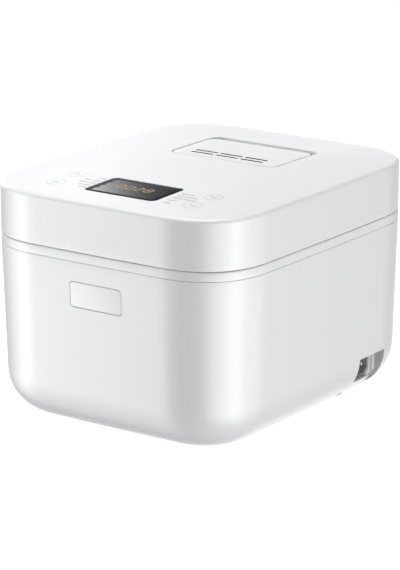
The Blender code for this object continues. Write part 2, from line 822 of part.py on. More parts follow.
def inner_lid_plate(lid, material):
    profile = [
        (5.0, 154.4),
        (62.0, 154.4),
        (80.0, 153.4),
        (103.5, 153.4),
        (103.5, 154.4),
        (80.0, 154.4),
        (62.0, 155.4),
        (5.0, 155.4),
    ]
    made = node("inner_lid_plate", turned(profile, ROUND_POINTS, ring_shaped=True), material, lid)
    for k in range(6):
        turn = TAU * k / 6
        spot = (10.0 * math.cos(turn), STEAM_Y - 12.0 + 10.0 * math.sin(turn))
        cut(made, rod("Z", spot, 3.0, 150.0, 160.0, 12))


def sealing_ring(lid, material):
    profile = [
        (99.0, 152.2),
        (108.6, 152.2),
        (108.6, 156.4),
        (103.9, 156.4),
        (103.9, 153.1),
        (99.0, 153.1),
    ]
    node("sealing_ring", turned(profile, ROUND_POINTS, ring_shaped=True), material, lid)


def inner_lid_knob(lid, material):
    profile = [(9.0, 149.0), (11.0, 150.4), (11.0, 154.0), (4.4, 154.1), (4.4, 157.7)]
    node("inner_lid_knob", turned(profile, 24), material, lid)


def steam_sensor(lid, material):
    profile = [(3.0, 155.8), (4.1, 156.8), (4.1, 166.0)]
    node("lid_temperature_sensor", turned(profile, 16, centre=SENSOR_SPOT), material, lid)


# Steam vent cover


def steam_cover(body, material):
    plate = rounded_rectangle((-52.2, VENT_PLATE_Y[0]), (52.2, VENT_PLATE_Y[1]), 6.4, 4)
    origin = (0.0, STEAM_Y, WELL_FLOOR_Z)
    made = node("steam_cover", prism(plate, "Z", 198.2, 202.0), material, body, origin)
    dome = [dome_ring(share, -0.15) for share in reversed(DOME_SHARES)]
    cut(made, loft([*dome, outline(LID_ROUND, 210.0)]))
    inner = rounded_rectangle((-50.0, 28.0), (50.0, 85.8), 4.2, 4)
    join(made, plane_ring(plate, inner, 193.0, 199.2))
    neck = [(19.6, 172.0), (19.6, 199.4), (17.4, 199.4), (17.4, 172.0)]
    join(made, turned(neck, 28, (0.0, STEAM_Y), ring_shaped=True))
    for x0, x1 in SLOT_X:
        for y in SLOT_Y:
            cut(made, box((x0, y - SLOT_W / 2, 190.0), (x1, y + SLOT_W / 2, 205.0)))


def plane_ring(outside, inside, low, high):
    """A wall between two plane outlines that have the same number of points."""
    rings = [
        [(x, y, low) for x, y in outside],
        [(x, y, high) for x, y in outside],
        [(x, y, high) for x, y in inside],
        [(x, y, low) for x, y in inside],
    ]
    return loft(rings, ring_shaped=True)


def steam_cup(body, material):
    """The valve seat that closes the neck's foot, with a hole for the ball."""
    profile = [
        (5.0, 168.8),
        (19.6, 168.8),
        (19.6, 171.7),
        (17.1, 171.7),
        (17.1, 178.0),
        (15.6, 178.0),
        (15.6, 170.8),
        (5.0, 170.8),
    ]
    made = turned(profile, 28, (0.0, STEAM_Y), ring_shaped=True)
    node("steam_valve_seat", made, material, body)


def valve_ball(body, material):
    radius = 7.0
    rest = math.sqrt((radius + 0.35) ** 2 - 5.0**2)
    centre_z = 170.8 + rest
    profile = []
    for k in range(1, 8):
        turn = math.pi * k / 8
        profile.append((radius * math.sin(turn), centre_z - radius * math.cos(turn)))
    node("valve_ball", turned(profile, 14, (0.0, STEAM_Y)), material, body)


def valve_gasket(lid, material):
    profile = [(19.95, 180.0), (21.5, 180.0), (21.5, 184.0), (19.95, 184.0)]
    made = turned(profile, 28, (0.0, STEAM_Y), ring_shaped=True)
    node("valve_gasket", made, material, lid)


def build():
    clear_scene()
    white = finish("white_casing", (0.86, 0.86, 0.87), 0.28)
    grey = finish("grey_plastic", (0.55, 0.55, 0.56), 0.5)
    dark = finish("dark_plastic", (0.03, 0.03, 0.035), 0.45)
    rubber = finish("rubber", (0.18, 0.18, 0.18), 0.8)
    silicone = finish("silicone", (0.75, 0.75, 0.74), 0.6)
    steel = finish("steel", (0.62, 0.62, 0.63), 0.32, 1.0)
    aluminium = finish("aluminium", (0.78, 0.78, 0.79), 0.35, 1.0)
    coated = finish("nonstick", (0.12, 0.12, 0.125), 0.45)
    glass = finish("black_window", (0.01, 0.01, 0.012), 0.08)
    board = finish("circuit_board", (0.05, 0.22, 0.10), 0.5)
    mica = finish("mica_band", (0.60, 0.52, 0.38), 0.6)

    root = pivot("cooker", (0.0, 0.0, 0.0))
    root.location = (0.0, CENTRE_SHIFT * MM, 0.0)
    lid = pivot("lid_axis", (0.0, HINGE_Y, HINGE_Z), root)
    cover = pivot("steam_cover_slide", (0.0, STEAM_Y, WELL_FLOOR_Z), lid)

    outer_shell(root, white)
    collar_ring(root, white)
    base_plate(root, grey)
    base_screws(root, steel)
    feet(root, rubber)

    inner_housing(root, steel)
    keep_warm_band(root, mica)
    inner_pot(root, coated)
    heating_plate(root, aluminium)
    heating_element(root, steel)
    thermostat(root, aluminium, steel, steel)
    thermal_fuse(root, silicone)

    power_board(root, board, dark)
    power_inlet(root, dark, steel)
    inlet_bay(root, grey)
    vent_grille(root, grey)

    release_button(root, white)
    button_springs(root, steel)
    latch_bracket(root, grey)
    latch_hook(root, grey)
    latch_pin(root, steel)

    hinge_bracket(root, white)
    hinge_pin(root, steel)
    hinge_spring(root, steel)
    hinge_arm(lid, white)

    lid_cover(lid, white)
    lid_liner(lid, grey)
    lid_screws(lid, steel)
    latch_striker(lid, grey)
    display_window(lid, glass)
    display_module(lid, dark)
    control_board(lid, board)
    inner_lid_plate(lid, aluminium)
    sealing_ring(lid, silicone)
    inner_lid_knob(lid, silicone)
    steam_sensor(lid, steel)
    valve_gasket(lid, silicone)

    steam_cover(cover, white)
    steam_cup(cover, silicone)
    valve_ball(cover, silicone)


build()
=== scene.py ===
"""Looks of the rice cooker: high-resolution pieces, procedural materials, studio and camera.

Lengths are millimetres in the part's own frame, with the floor at z = 0 and the front
towards -Y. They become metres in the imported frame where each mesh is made.
"""

import math

import bmesh
import bpy
import numpy as np
from mathutils import Matrix, Vector
from mathutils.geometry import delaunay_2d_cdt


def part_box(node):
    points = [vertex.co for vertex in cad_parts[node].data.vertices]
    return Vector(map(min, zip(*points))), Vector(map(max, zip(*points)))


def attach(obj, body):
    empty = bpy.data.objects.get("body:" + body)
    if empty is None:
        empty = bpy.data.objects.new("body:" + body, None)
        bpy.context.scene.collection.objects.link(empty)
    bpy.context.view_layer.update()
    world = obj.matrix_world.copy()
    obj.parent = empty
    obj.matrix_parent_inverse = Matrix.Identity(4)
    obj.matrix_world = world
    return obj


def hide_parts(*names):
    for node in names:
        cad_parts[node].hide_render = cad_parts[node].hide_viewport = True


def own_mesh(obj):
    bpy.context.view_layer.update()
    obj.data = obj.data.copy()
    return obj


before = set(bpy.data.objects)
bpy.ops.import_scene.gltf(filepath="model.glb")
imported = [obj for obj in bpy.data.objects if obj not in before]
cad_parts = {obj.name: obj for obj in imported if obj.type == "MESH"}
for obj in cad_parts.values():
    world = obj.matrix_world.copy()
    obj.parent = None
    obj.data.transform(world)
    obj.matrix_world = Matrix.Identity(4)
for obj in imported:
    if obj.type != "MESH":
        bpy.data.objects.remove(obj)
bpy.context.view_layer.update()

MM = 0.001
TAU = 2 * math.pi

# The lid is centred on the part's own origin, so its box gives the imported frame's shift.
_low, _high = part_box("lid_cover")
SHIFT_Y = (_low.y + _high.y) / 2 / MM

# Plan outline, heights and openings, with the CAD's numbers. Only two differ: the slots are wider
# here, and the front edge of the vent cover's plate is further back.
WIDTH = 245.0
DEPTH = 292.4
CORNER_R = 61.2
CORNER_POWER = 2.45
SIDE_BOW = 1.67
RING_POINTS = 288
Z_FOOT = 4.0
Z_CREASE = 148.7
Z_SEAM = 156.7
Z_LID_SIDE = 195.3
Z_LID_EDGE = 198.5
Z_LID_TOP = 201.4
TAPER = 0.028
FILLET_H = 34.8
FILLET_V = 37.8
LID_ROUND = 3.4
CREST_Y = 20.0
DOME_POWER = 2.4
WALL = 2.6

WELL_R = 112.8
LEDGE_R = 104.6
LEDGE_Z = 149.8
HINGE = (148.2, 147.0)
BUTTON_Z = 121.6
DISPLAY_SIZE = (70.0, 43.8)
DISPLAY_Y = -94.7
DISPLAY_SEAT_Z = 197.6
DISPLAY_TOP_Z = (199.4, 200.5)
VENT_X = 53.0
VENT_Y = (24.9, 96.0)
VENT_PLATE_Y = (26.1, 88.0)
WELL_FLOOR_Z = 192.0
STEAM_Y = 60.0
SENSOR = (-45.0, -10.0)
SLOT_X = ((-37.4, -15.0), (-12.4, 10.0), (12.6, 35.1))
SLOT_Y = (36.3, 43.5)
SLOTS = [(x, y) for x in SLOT_X for y in SLOT_Y]
SLOT_W = 2.9


# Materials


def add_node(tree, kind, inputs=None, **settings):
    """Adds a shader node. Each input is a value, or the socket that feeds it."""
    made = tree.nodes.new("ShaderNode" + kind)
    for name, value in settings.items():
        setattr(made, name, value)
    for key, value in (inputs or {}).items():
        if isinstance(value, bpy.types.NodeSocket):
            tree.links.new(value, made.inputs[key])
        else:
            made.inputs[key].default_value = value
    return made


def noise(tree, vector, scale, detail):
    inputs = {"Vector": vector, "Scale": scale, "Detail": detail}
    return add_node(tree, "TexNoise", inputs).outputs["Fac"]


def surface(
    name, colour, roughness, metallic=0.0, mottle=0.02, mottle_scale=60.0, grain=0.0,
    grain_scale=2500.0, stretch=(1.0, 1.0, 1.0), turned_grain=False, **sockets,
):
    """A Principled material with a faint colour variation, a varied gloss and a fine relief."""
    material = bpy.data.materials.new(name)
    material.use_nodes = True
    tree = material.node_tree
    shader = tree.nodes["Principled BSDF"]
    shader.inputs["Metallic"].default_value = metallic
    for socket, value in sockets.items():
        shader.inputs[socket.replace("_", " ")].default_value = value

    place = add_node(tree, "TexCoord").outputs["Object"]
    cloud = noise(tree, place, mottle_scale, 4.0)
    darker = (*[c * (1 - mottle) for c in colour], 1.0)
    lighter = (*[min(c * (1 + mottle), 1.0) for c in colour], 1.0)
    blend = add_node(tree, "Mix", {"Factor": cloud, "A": darker, "B": lighter}, data_type="RGBA")
    tree.links.new(blend.outputs["Result"], shader.inputs["Base Color"])

    spread = min(mottle, 0.1)
    low, high = roughness * (1 - spread), min(roughness * (1 + spread), 1.0)
    ends = {"From Min": 0.3, "From Max": 0.7, "To Min": low, "To Max": high}
    gloss = add_node(tree, "MapRange", {"Value": cloud, **ends})
    tree.links.new(gloss.outputs["Result"], shader.inputs["Roughness"])

    if grain:
        if turned_grain:
            vector = circular(tree, place)
        else:
            vector = add_node(tree, "Mapping", {"Vector": place, "Scale": stretch}).outputs["Vector"]
        fine = noise(tree, vector, grain_scale, 3.0)
        relief = add_node(tree, "Bump", {"Strength": grain, "Distance": 0.0001, "Height": fine})
        tree.links.new(relief.outputs["Normal"], shader.inputs["Normal"])
    return material


def circular(tree, place):
    """Coordinates that vary fast along the radius and slowly round it, for turned metal."""
    split = add_node(tree, "SeparateXYZ", {"Vector": place}).outputs
    flat = add_node(tree, "CombineXYZ", {"X": split["X"], "Y": split["Y"]}).outputs["Vector"]
    middle = (0.0, SHIFT_Y * MM, 0.0)
    away = add_node(tree, "VectorMath", {0: flat, 1: middle}, operation="SUBTRACT")
    away = away.outputs["Vector"]
    length = add_node(tree, "VectorMath", {0: away}, operation="LENGTH").outputs["Value"]
    slow = add_node(tree, "VectorMath", {0: away, "Scale": 0.02}, operation="SCALE")
    parts = add_node(tree, "SeparateXYZ", {"Vector": slow.outputs["Vector"]}).outputs
    joined = add_node(tree, "CombineXYZ", {"X": length, "Y": parts["X"], "Z": parts["Y"]})
    return joined.outputs["Vector"]


WHITE = surface(
    "white_gloss", (0.855, 0.856, 0.872), 0.26, mottle=0.004, grain=0.006, grain_scale=250.0,
    Specular_IOR_Level=0.94,
)
WHITE_INSIDE = surface(
    "white_satin", (0.74, 0.745, 0.75), 0.42, mottle=0.012, grain=0.12, grain_scale=1600.0
)
GREY = surface("grey_satin", (0.44, 0.445, 0.455), 0.48, mottle=0.03, grain=0.25)
GREY_LIGHT = surface("light_grey_satin", (0.60, 0.605, 0.615), 0.45, mottle=0.02, grain=0.2)
DARK = surface("dark_satin", (0.05, 0.05, 0.053), 0.42, mottle=0.08, grain=0.3)
INLET = surface("inlet_satin", (0.33, 0.33, 0.335), 0.5, mottle=0.05, grain=0.2)
RUBBER = surface("rubber_grey", (0.42, 0.42, 0.425), 0.78, mottle=0.05, grain=0.3)
SILICONE = surface(
    "silicone_clear_grey", (0.66, 0.665, 0.66), 0.5, mottle=0.02, grain=0.1,
    Subsurface_Weight=0.15,
)
STEEL = surface(
    "steel_drawn", (0.60, 0.60, 0.61), 0.3, 1.0, mottle=0.03, grain=0.15,
    stretch=(1.0, 1.0, 0.05),
)
GALVANISED = surface(
    "steel_galvanised", (0.56, 0.57, 0.58), 0.38, 1.0, mottle=0.14, mottle_scale=180.0
)
ALUMINIUM = surface(
    "aluminium_cast", (0.74, 0.745, 0.75), 0.42, 1.0, mottle=0.05, grain=0.3,
    grain_scale=1200.0,
)
TURNED = surface(
    "aluminium_turned", (0.80, 0.80, 0.805), 0.3, 1.0, mottle=0.02, grain=0.35,
    grain_scale=1800.0, turned_grain=True,
)
COATED = surface(
    "nonstick_coating", (0.045, 0.045, 0.048), 0.36, mottle=0.25, mottle_scale=2600.0,
    grain=0.2, grain_scale=1400.0, Coat_Weight=0.2,
)
POT_OUTSIDE = surface(
    "pot_lacquer", (0.10, 0.095, 0.09), 0.42, 0.6, mottle=0.12, mottle_scale=1500.0,
    grain=0.2, grain_scale=1400.0,
)
MICA = surface(
    "mica_sheet", (0.52, 0.44, 0.31), 0.5, mottle=0.22, mottle_scale=140.0, grain=0.2
)
GLASS = surface(
    "black_window_gloss", (0.008, 0.008, 0.01), 0.04, mottle=0.1, mottle_scale=30.0,
    Specular_IOR_Level=0.02,
)
BOARD = surface(
    "board_green", (0.02, 0.16, 0.07), 0.4, mottle=0.5, mottle_scale=420.0, grain=0.2
)
PRINT = surface("grey_print", (0.36, 0.365, 0.375), 0.5, mottle=0.05, mottle_scale=800.0)
SCALE_PRINT = surface("light_print", (0.50, 0.50, 0.50), 0.5, mottle=0.05)
LIT = surface(
    "amber_segments", (0.20, 0.13, 0.04), 0.4, mottle=0.1, mottle_scale=900.0,
    Emission_Color=(1.0, 0.58, 0.2, 1.0), Emission_Strength=0.3,
)


# Plan outline


def dense_quarter(inset):
    """(angles, reaches) of a quarter of the outline, pulled in by `inset`."""
    half_w = WIDTH / 2 - inset
    half_d = DEPTH / 2 - inset
    radius = max(CORNER_R - inset, 8.0)
    bend = np.linspace(0.0, math.pi / 2, 129)
    cosine = np.cos(bend) ** (2 / CORNER_POWER)
    sine = np.sin(bend) ** (2 / CORNER_POWER)
    side = np.linspace(0.0, half_d - radius, 80)[:-1]
    back = np.linspace(half_w - radius, 0.0, 80)[1:]
    x = np.concatenate([np.full(79, half_w), half_w - radius + radius * cosine, back])
    y = np.concatenate([side, half_d - radius + radius * sine, np.full(79, half_d)])
    u = x / half_w
    v = y / half_d
    x = x + u**6 * SIDE_BOW * (1 - v**2)
    y = y + v**6 * SIDE_BOW * (1 - u**2)
    return np.arctan2(y, x), np.hypot(x, y)


def even_turns(count):
    """Angles that space `count` points evenly along the outer outline."""
    angle, reach = dense_quarter(0.0)
    x, y = reach * np.cos(angle), reach * np.sin(angle)
    run = np.concatenate([[0.0], np.cumsum(np.hypot(np.diff(x), np.diff(y)))])
    share = np.linspace(0.0, run[-1], count // 4 + 1)
    quarter = np.interp(share, run, angle)[:-1]
    half = np.concatenate([quarter, [math.pi / 2], math.pi - quarter[:0:-1]])
    return np.concatenate([half, half + math.pi])


TURNS = even_turns(RING_POINTS)
QUARTER_TURNS = np.arctan2(np.abs(np.sin(TURNS)), np.abs(np.cos(TURNS)))


def outline(inset, z):
    angle, reach = dense_quarter(inset)
    length = np.interp(QUARTER_TURNS, angle, reach)
    pairs = zip(length.tolist(), TURNS.tolist())
    return [(r * math.cos(t), r * math.sin(t), z) for r, t in pairs]


RIM = np.array(outline(LID_ROUND, 0.0))[:, :2] - (0.0, CREST_Y)
RIM_TURNS = np.arctan2(RIM[:, 1], RIM[:, 0])
RIM_REACHES = np.hypot(RIM[:, 0], RIM[:, 1])


def lid_top(x, y):
    """Height of the lid's top, a low dome whose crest lies behind the middle."""
    reach = np.interp(math.atan2(y - CREST_Y, x), RIM_TURNS, RIM_REACHES, period=TAU)
    share = min(math.hypot(x, y - CREST_Y) / float(reach), 1.0)
    return Z_LID_EDGE + (Z_LID_TOP - Z_LID_EDGE) * (1 - share**DOME_POWER)


def rim_ring(share, drop=0.0):
    """The rim's plan shrunk towards the crest, on the top or `drop` below it."""
    points = [(x * share, CREST_Y + y * share) for x, y in RIM.tolist()]
    return [(x, y, lid_top(x, y) - drop) for x, y in points]


# Meshes


def inside(points, polygon):
    """Which plan points lie inside a polygon."""
    x, y = points[:, 0][:, None], points[:, 1][:, None]
    x0, y0 = polygon[:, 0][None], polygon[:, 1][None]
    x1, y1 = np.roll(x0, -1), np.roll(y0, -1)
    crosses = (y0 > y) != (y1 > y)
    rise = np.where(y1 == y0, 1e-12, y1 - y0)
    hit = x < x0 + (y - y0) * (x1 - x0) / rise
    return (crosses & hit).sum(axis=1) % 2 == 1


class Shape:
    """Points in millimetres and the faces between them."""

    def __init__(self):
        self.points = []
        self.faces = []

    def loop(self, points):
        start = len(self.points)
        self.points.extend(tuple(map(float, p)) for p in points)
        return list(range(start, len(self.points)))

    def skin(self, low, high):
        count = len(low)
        for k in range(count):
            after = (k + 1) % count
            self.faces.append((low[k], low[after], high[after], high[k]))

    def stack(self, rings, ring_shaped=False):
        loops = [self.loop(ring) for ring in rings]
        for low, high in zip(loops, loops[1:]):
            self.skin(low, high)
        if ring_shaped:
            self.skin(loops[-1], loops[0])
        return loops

    def cap(self, loop):
        self.faces.append(tuple(loop))

    def fill(self, outer, holes=(), height=None, spacing=5.0):
        """Triangulates the region inside `outer` and outside the holes."""
        loops = [outer, *holes]
        index = [i for loop in loops for i in loop]
        flat = np.array([self.points[i][:2] for i in index])
        edges = []
        polygons = []
        start = 0
        for loop in loops:
            count = len(loop)
            edges += [(start + k, start + (k + 1) % count) for k in range(count)]
            polygons.append(flat[start : start + count])
            start += count
        if height:
            added = self.grid(polygons, flat, spacing)
            index += self.loop([(x, y, height(x, y)) for x, y in added])
            flat = np.concatenate([flat, added])
        places, _, triangles, origins, _, _ = delaunay_2d_cdt(
            [Vector(p) for p in flat.tolist()], edges, [], 0, 1e-6
        )
        corners = np.array([[places[i][:] for i in t] for t in triangles])
        centres = corners.mean(axis=1)
        wanted = inside(centres, polygons[0])
        for polygon in polygons[1:]:
            wanted &= ~inside(centres, polygon)
        for triangle, keep in zip(triangles, wanted):
            if keep:
                self.faces.append(tuple(index[origins[i][0]] for i in triangle))

    @staticmethod
    def grid(polygons, flat, spacing):
        """Staggered points inside the first polygon, clear of every edge."""
        low, high = polygons[0].min(axis=0), polygons[0].max(axis=0)
        rows = np.arange(low[1], high[1], spacing * 0.866)
        columns = np.arange(low[0], high[0], spacing)
        spots = np.array(
            [(x + spacing / 2 * (k % 2), y) for k, y in enumerate(rows) for x in columns]
        )
        keep = inside(spots, polygons[0])
        for polygon in polygons[1:]:
            keep &= ~inside(spots, polygon)
        spots = spots[keep]
        gap = np.full(len(spots), np.inf)
        for chunk in np.array_split(flat, 8):
            away = np.linalg.norm(spots[:, None] - chunk[None], axis=2).min(axis=1)
            gap = np.minimum(gap, away)
        return spots[gap > spacing * 0.6]

    def add(self, other):
        start = len(self.points)
        self.points.extend(other.points)
        self.faces.extend(tuple(i + start for i in face) for face in other.faces)
        return self

    def mesh_object(self, name, sharp=35.0):
        mesh = bpy.data.meshes.new(name)
        points = [(x * MM, (y + SHIFT_Y) * MM, z * MM) for x, y, z in self.points]
        mesh.from_pydata(points, [], self.faces)
        whole = bmesh.new()
        whole.from_mesh(mesh)
        bmesh.ops.recalc_face_normals(whole, faces=whole.faces)
        whole.to_mesh(mesh)
        whole.free()
        made = bpy.data.objects.new(name, mesh)
        bpy.context.scene.collection.objects.link(made)
        shade(made, sharp)
        return made


def shade(made, sharp):
    made.data.shade_smooth()
    made.data.set_sharp_from_angle(angle=math.radians(sharp))


def settle(made):
    """Applies the object's modifiers to its mesh."""
    graph = bpy.context.evaluated_depsgraph_get()
    mesh = bpy.data.meshes.new_from_object(made.evaluated_get(graph))
    made.modifiers.clear()
    made.data = mesh


def combine(made, shapes, operation, sharp=35.0):
    """Exact Booleans with each shape in turn, applied."""
    helpers = []
    for k, shape in enumerate(shapes):
        helper = shape.mesh_object(f"{made.name}_helper_{k}")
        helpers.append(helper)
        modifier = made.modifiers.new(f"step_{k}", "BOOLEAN")
        modifier.operation = operation
        modifier.solver = "EXACT"
        modifier.object = helper
    settle(made)
    for helper in helpers:
        bpy.data.objects.remove(helper, do_unlink=True)
    shade(made, sharp)
    return made


def carve(made, *shapes, sharp=35.0):
    return combine(made, shapes, "DIFFERENCE", sharp)


def weld(made, *shapes, sharp=35.0):
    return combine(made, shapes, "UNION", sharp)


def soften(made, width, segments):
    """Rounds the edges that are sharper than 40 degrees."""
    modifier = made.modifiers.new("soften", "BEVEL")
    modifier.width = width * MM
    modifier.segments = segments
    modifier.limit_method = "ANGLE"
    modifier.angle_limit = math.radians(40.0)
    modifier.use_clamp_overlap = True
    modifier.harden_normals = False
    settle(made)
    shade(made, 45.0)
    return made


def piece(made, material, body, slot, *replaced):
    made.data.materials.clear()
    made.data.materials.append(material)
    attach(made, body)
    if replaced:
        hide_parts(*replaced)
    return made


def solid(rings):
    """A piece skinned over its rings and capped at both ends."""
    shape = Shape()
    loops = shape.stack(rings)
    shape.cap(loops[0])
    shape.cap(loops[-1])
    return shape


def hoop(rings):
    """A ring-shaped piece whose last section joins its first."""
    shape = Shape()
    shape.stack(rings, ring_shaped=True)
    return shape


def level(points, z):
    return [(x, y, z) for x, y in points]


def raised(points, height, drop=0.0):
    """Plan points on a surface, or `drop` below it."""
    return [(x, y, height(x, y) - drop) for x, y in points]


def even(count):
    """Turns spaced evenly round a circle."""
    return [TAU * k / count for k in range(count)]


def mirrored(x, y):
    """A spot in each corner, from the one at the rear right."""
    return [(x * i, y * j) for i in (-1, 1) for j in (-1, 1)]


def circle(radius, z, count=96, centre=(0.0, 0.0)):
    x, y = centre
    return [(x + radius * math.cos(t), y + radius * math.sin(t), z) for t in even(count)]


def outline_circle(radius, z):
    """A circle that matches an outline ring point for point."""
    return [(radius * math.cos(t), radius * math.sin(t), z) for t in TURNS.tolist()]


def turned(profile, count=96, centre=(0.0, 0.0), ring_shaped=False):
    """A turned piece from (radius, z) pairs. A solid one is capped at both ends."""
    rings = [circle(r, z, count, centre) for r, z in profile]
    return hoop(rings) if ring_shaped else solid(rings)


def rounded(corners, radius, steps=4):
    """Rounds the corners of a closed (radius, z) or plane profile."""
    made = []
    count = len(corners)
    radii = radius if isinstance(radius, (list, tuple)) else [radius] * count
    for k, corner in enumerate(corners):
        here = Vector(corner)
        before = Vector(corners[k - 1]) - here
        after = Vector(corners[(k + 1) % count]) - here
        reach = min(radii[k], before.length * 0.45, after.length * 0.45)
        if reach < 0.01:
            made.append(tuple(here))
            continue
        start = here + before.normalized() * reach
        end = here + after.normalized() * reach
        for j in range(steps + 1):
            t = j / steps
            made.append(tuple(start * (1 - t) ** 2 + here * 2 * t * (1 - t) + end * t**2))
    return made


def rectangle(low, high, radius, steps=8):
    """Plane points of a rectangle with circular corners."""
    made = []
    corners = (
        (high[0] - radius, high[1] - radius, 0.0),
        (low[0] + radius, high[1] - radius, 90.0),
        (low[0] + radius, low[1] + radius, 180.0),
        (high[0] - radius, low[1] + radius, 270.0),
    )
    for x, y, start in corners:
        for k in range(steps + 1):
            turn = math.radians(start + 90.0 * k / steps)
            made.append((x + radius * math.cos(turn), y + radius * math.sin(turn)))
    return made


def quarter_round(radius, steps):
    """(shrink, drop) pairs of a rounded edge, from its side to its face."""
    turns = [math.pi / 2 * k / steps for k in range(steps + 1)]
    return [(radius * (1 - math.cos(t)), radius * (1 - math.sin(t))) for t in turns]


def prism(points, axis, low, high):
    place = {
        "X": lambda p, a: (a, p[0], p[1]),
        "Y": lambda p, a: (p[0], a, p[1]),
        "Z": lambda p, a: (p[0], p[1], a),
    }[axis]
    return solid([[place(p, end) for p in points] for end in (low, high)])


def slab(axis, low, high, radius, start, end, steps=4):
    """A rounded rectangle drawn out along an axis."""
    return prism(rectangle(low, high, radius, steps), axis, start, end)


def block(low, high):
    corners = [(low[0], low[1]), (high[0], low[1]), (high[0], high[1]), (low[0], high[1])]
    return prism(corners, "Z", low[2], high[2])


def rod(axis, centre, radius, low, high, count=48):
    turns = [TAU * (k + 0.5) / count for k in range(count)]
    points = [(centre[0] + radius * math.cos(t), centre[1] + radius * math.sin(t)) for t in turns]
    return prism(points, axis, low, high)


def coil(start, axis, length, radius, wire, turns):
    """A helical spring that runs from `start` along an axis."""
    steps, sides = 28, 12
    along = {"X": (1, 2, 0), "Y": (2, 0, 1), "Z": (0, 1, 2)}[axis]
    total = turns * steps
    path = []
    for k in range(total + 1):
        turn = TAU * turns * k / total
        point = [0.0, 0.0, 0.0]
        point[along[0]] = start[along[0]] + radius * math.cos(turn)
        point[along[1]] = start[along[1]] + radius * math.sin(turn)
        point[along[2]] = start[along[2]] + length * k / total
        path.append(Vector(point))
    rings = []
    side = None
    for k, point in enumerate(path):
        ahead = (path[min(k + 1, total)] - path[max(k - 1, 0)]).normalized()
        side = ahead.orthogonal().normalized() if side is None else side
        side = (side - ahead * side.dot(ahead)).normalized()
        other = ahead.cross(side)
        rings.append([point + (side * math.cos(t) + other * math.sin(t)) * wire for t in even(sides)])
    return solid(rings)


# Casing


def fillet(extra, z_low, share, steps):
    """(inset, z) pairs of the bottom fillet, from its foot to where the side starts."""
    start = TAPER * (Z_CREASE - Z_FOOT - FILLET_V) + extra
    run = FILLET_H * share
    rise = Z_FOOT + FILLET_V - z_low
    pairs = []
    for k in range(steps + 1):
        turn = math.pi / 2 * (1 - k / steps)
        pairs.append((start + run * (1 - math.cos(turn)), z_low + rise * (1 - math.sin(turn))))
    return pairs


def face_y(z):
    return -(DEPTH / 2 - TAPER * max(Z_CREASE - z, 0.0) + SIDE_BOW)


def button_loop(grow, radius):
    half_w, half_h = 25.5 + grow, 10.5 + grow
    return rectangle((-half_w, BUTTON_Z - half_h), (half_w, BUTTON_Z + half_h), radius)


def make_casing():
    pairs = [(50.0, Z_FOOT + 0.4), (49.6, Z_FOOT)]
    pairs += fillet(0.0, Z_FOOT, 1.0, 22)
    side_low = Z_FOOT + FILLET_V
    top = Z_CREASE - 0.15
    steps = 14
    for k in range(1, steps + 1):
        z = side_low + (top - 0.4 - side_low) * k / steps
        pairs.append((TAPER * (Z_CREASE - z), z))
    pairs += [(0.05, top - 0.1), (0.2, top), (WALL - 0.3, top), (WALL, top - 0.3)]
    pairs += [(WALL + 1.2, 100.0), (WALL + TAPER * (Z_CREASE - side_low), side_low + 2.0)]
    pairs += fillet(WALL, Z_FOOT + WALL, 0.925, 8)[::-1]
    pairs += [(50.0, Z_FOOT + WALL)]
    made = hoop([outline(inset, z) for inset, z in pairs]).mesh_object("casing")
    carve(
        made,
        prism(button_loop(0.4, 3.4), "Y", -151.0, -139.0),
        slab("X", (55.0, 19.5), (94.5, 40.5), 1.5, 96.0, 130.0, 8),
        slab("X", (80.0, 13.0), (94.5, 23.5), 1.5, 96.0, 131.0, 8),
        block((-33.0, 143.2, 141.8), (33.0, 156.0, 151.0)),
        sharp=30.0,
    )
    piece(made, WHITE, "body", "white_casing", "outer_shell")


def make_collar():
    low = Z_CREASE + 0.15
    deck = Z_SEAM - 0.3
    outer = (
        (3.1, low), (0.2, low), (0.06, low + 0.08), (0.0, low + 0.4), (0.0, 152.0), (0.04, 154.0),
        (0.12, 155.3), (0.25, 155.9), (0.45, 156.25), (0.8, deck), (6.0, deck),
    )
    well = (
        (WELL_R + 0.8, deck), (WELL_R + 0.25, deck - 0.22), (WELL_R, deck - 0.8),
        (WELL_R, LEDGE_Z + 0.5), (WELL_R - 0.5, LEDGE_Z), (LEDGE_R + 0.4, LEDGE_Z),
        (LEDGE_R, LEDGE_Z - 0.4), (LEDGE_R, LEDGE_Z - 2.4), (WELL_R + 2.2, LEDGE_Z - 2.4),
        (WELL_R + 2.2, Z_SEAM - 2.7),
    )
    under = ((5.2, Z_SEAM - 2.7), (5.2, Z_CREASE - 5.2), (3.1, Z_CREASE - 5.2))
    rings = [outline(inset, z) for inset, z in outer]
    rings += [outline_circle(radius, z) for radius, z in well]
    rings += [outline(inset, z) for inset, z in under]
    made = hoop(rings).mesh_object("collar")
    carve(
        made,
        block((-33.0, 143.2, 137.0), (33.0, 156.0, 152.2)),
        slab("Z", (-14.0, -145.1), (14.0, -133.4), 1.2, 140.0, Z_SEAM - 2.3),
        slab("Z", (-13.5, -141.5), (13.5, -134.2), 1.2, 150.0, 160.0),
        sharp=30.0,
    )
    piece(made, WHITE, "body", "white_casing", "collar_ring")


def make_feet():
    whole = Shape()
    profile = [(0.6, 0.5), (4.6, 0.5), (5.0, 0.0), (7.2, 0.0), (7.8, 0.25), (8.0, 0.9)]
    profile += [(8.0, 3.2), (7.8, 3.7)]
    for x, y in ((-62.0, -92.0), (62.0, -92.0), (-83.0, 72.0), (83.0, 72.0)):
        whole.add(turned(profile, 64, (x, y)))
    names = ("foot_front_left", "foot_front_right", "foot_rear_left", "foot_rear_right")
    piece(whole.mesh_object("foot_pads"), RUBBER, "body", "rubber", *names)


BASE_SCREWS = ((77.0, 0.0), (0.0, 100.7), (-77.0, 0.0), (0.0, -100.7))
LID_SCREWS = mirrored(92.0, 112.0)
SCREW_R = 1.5


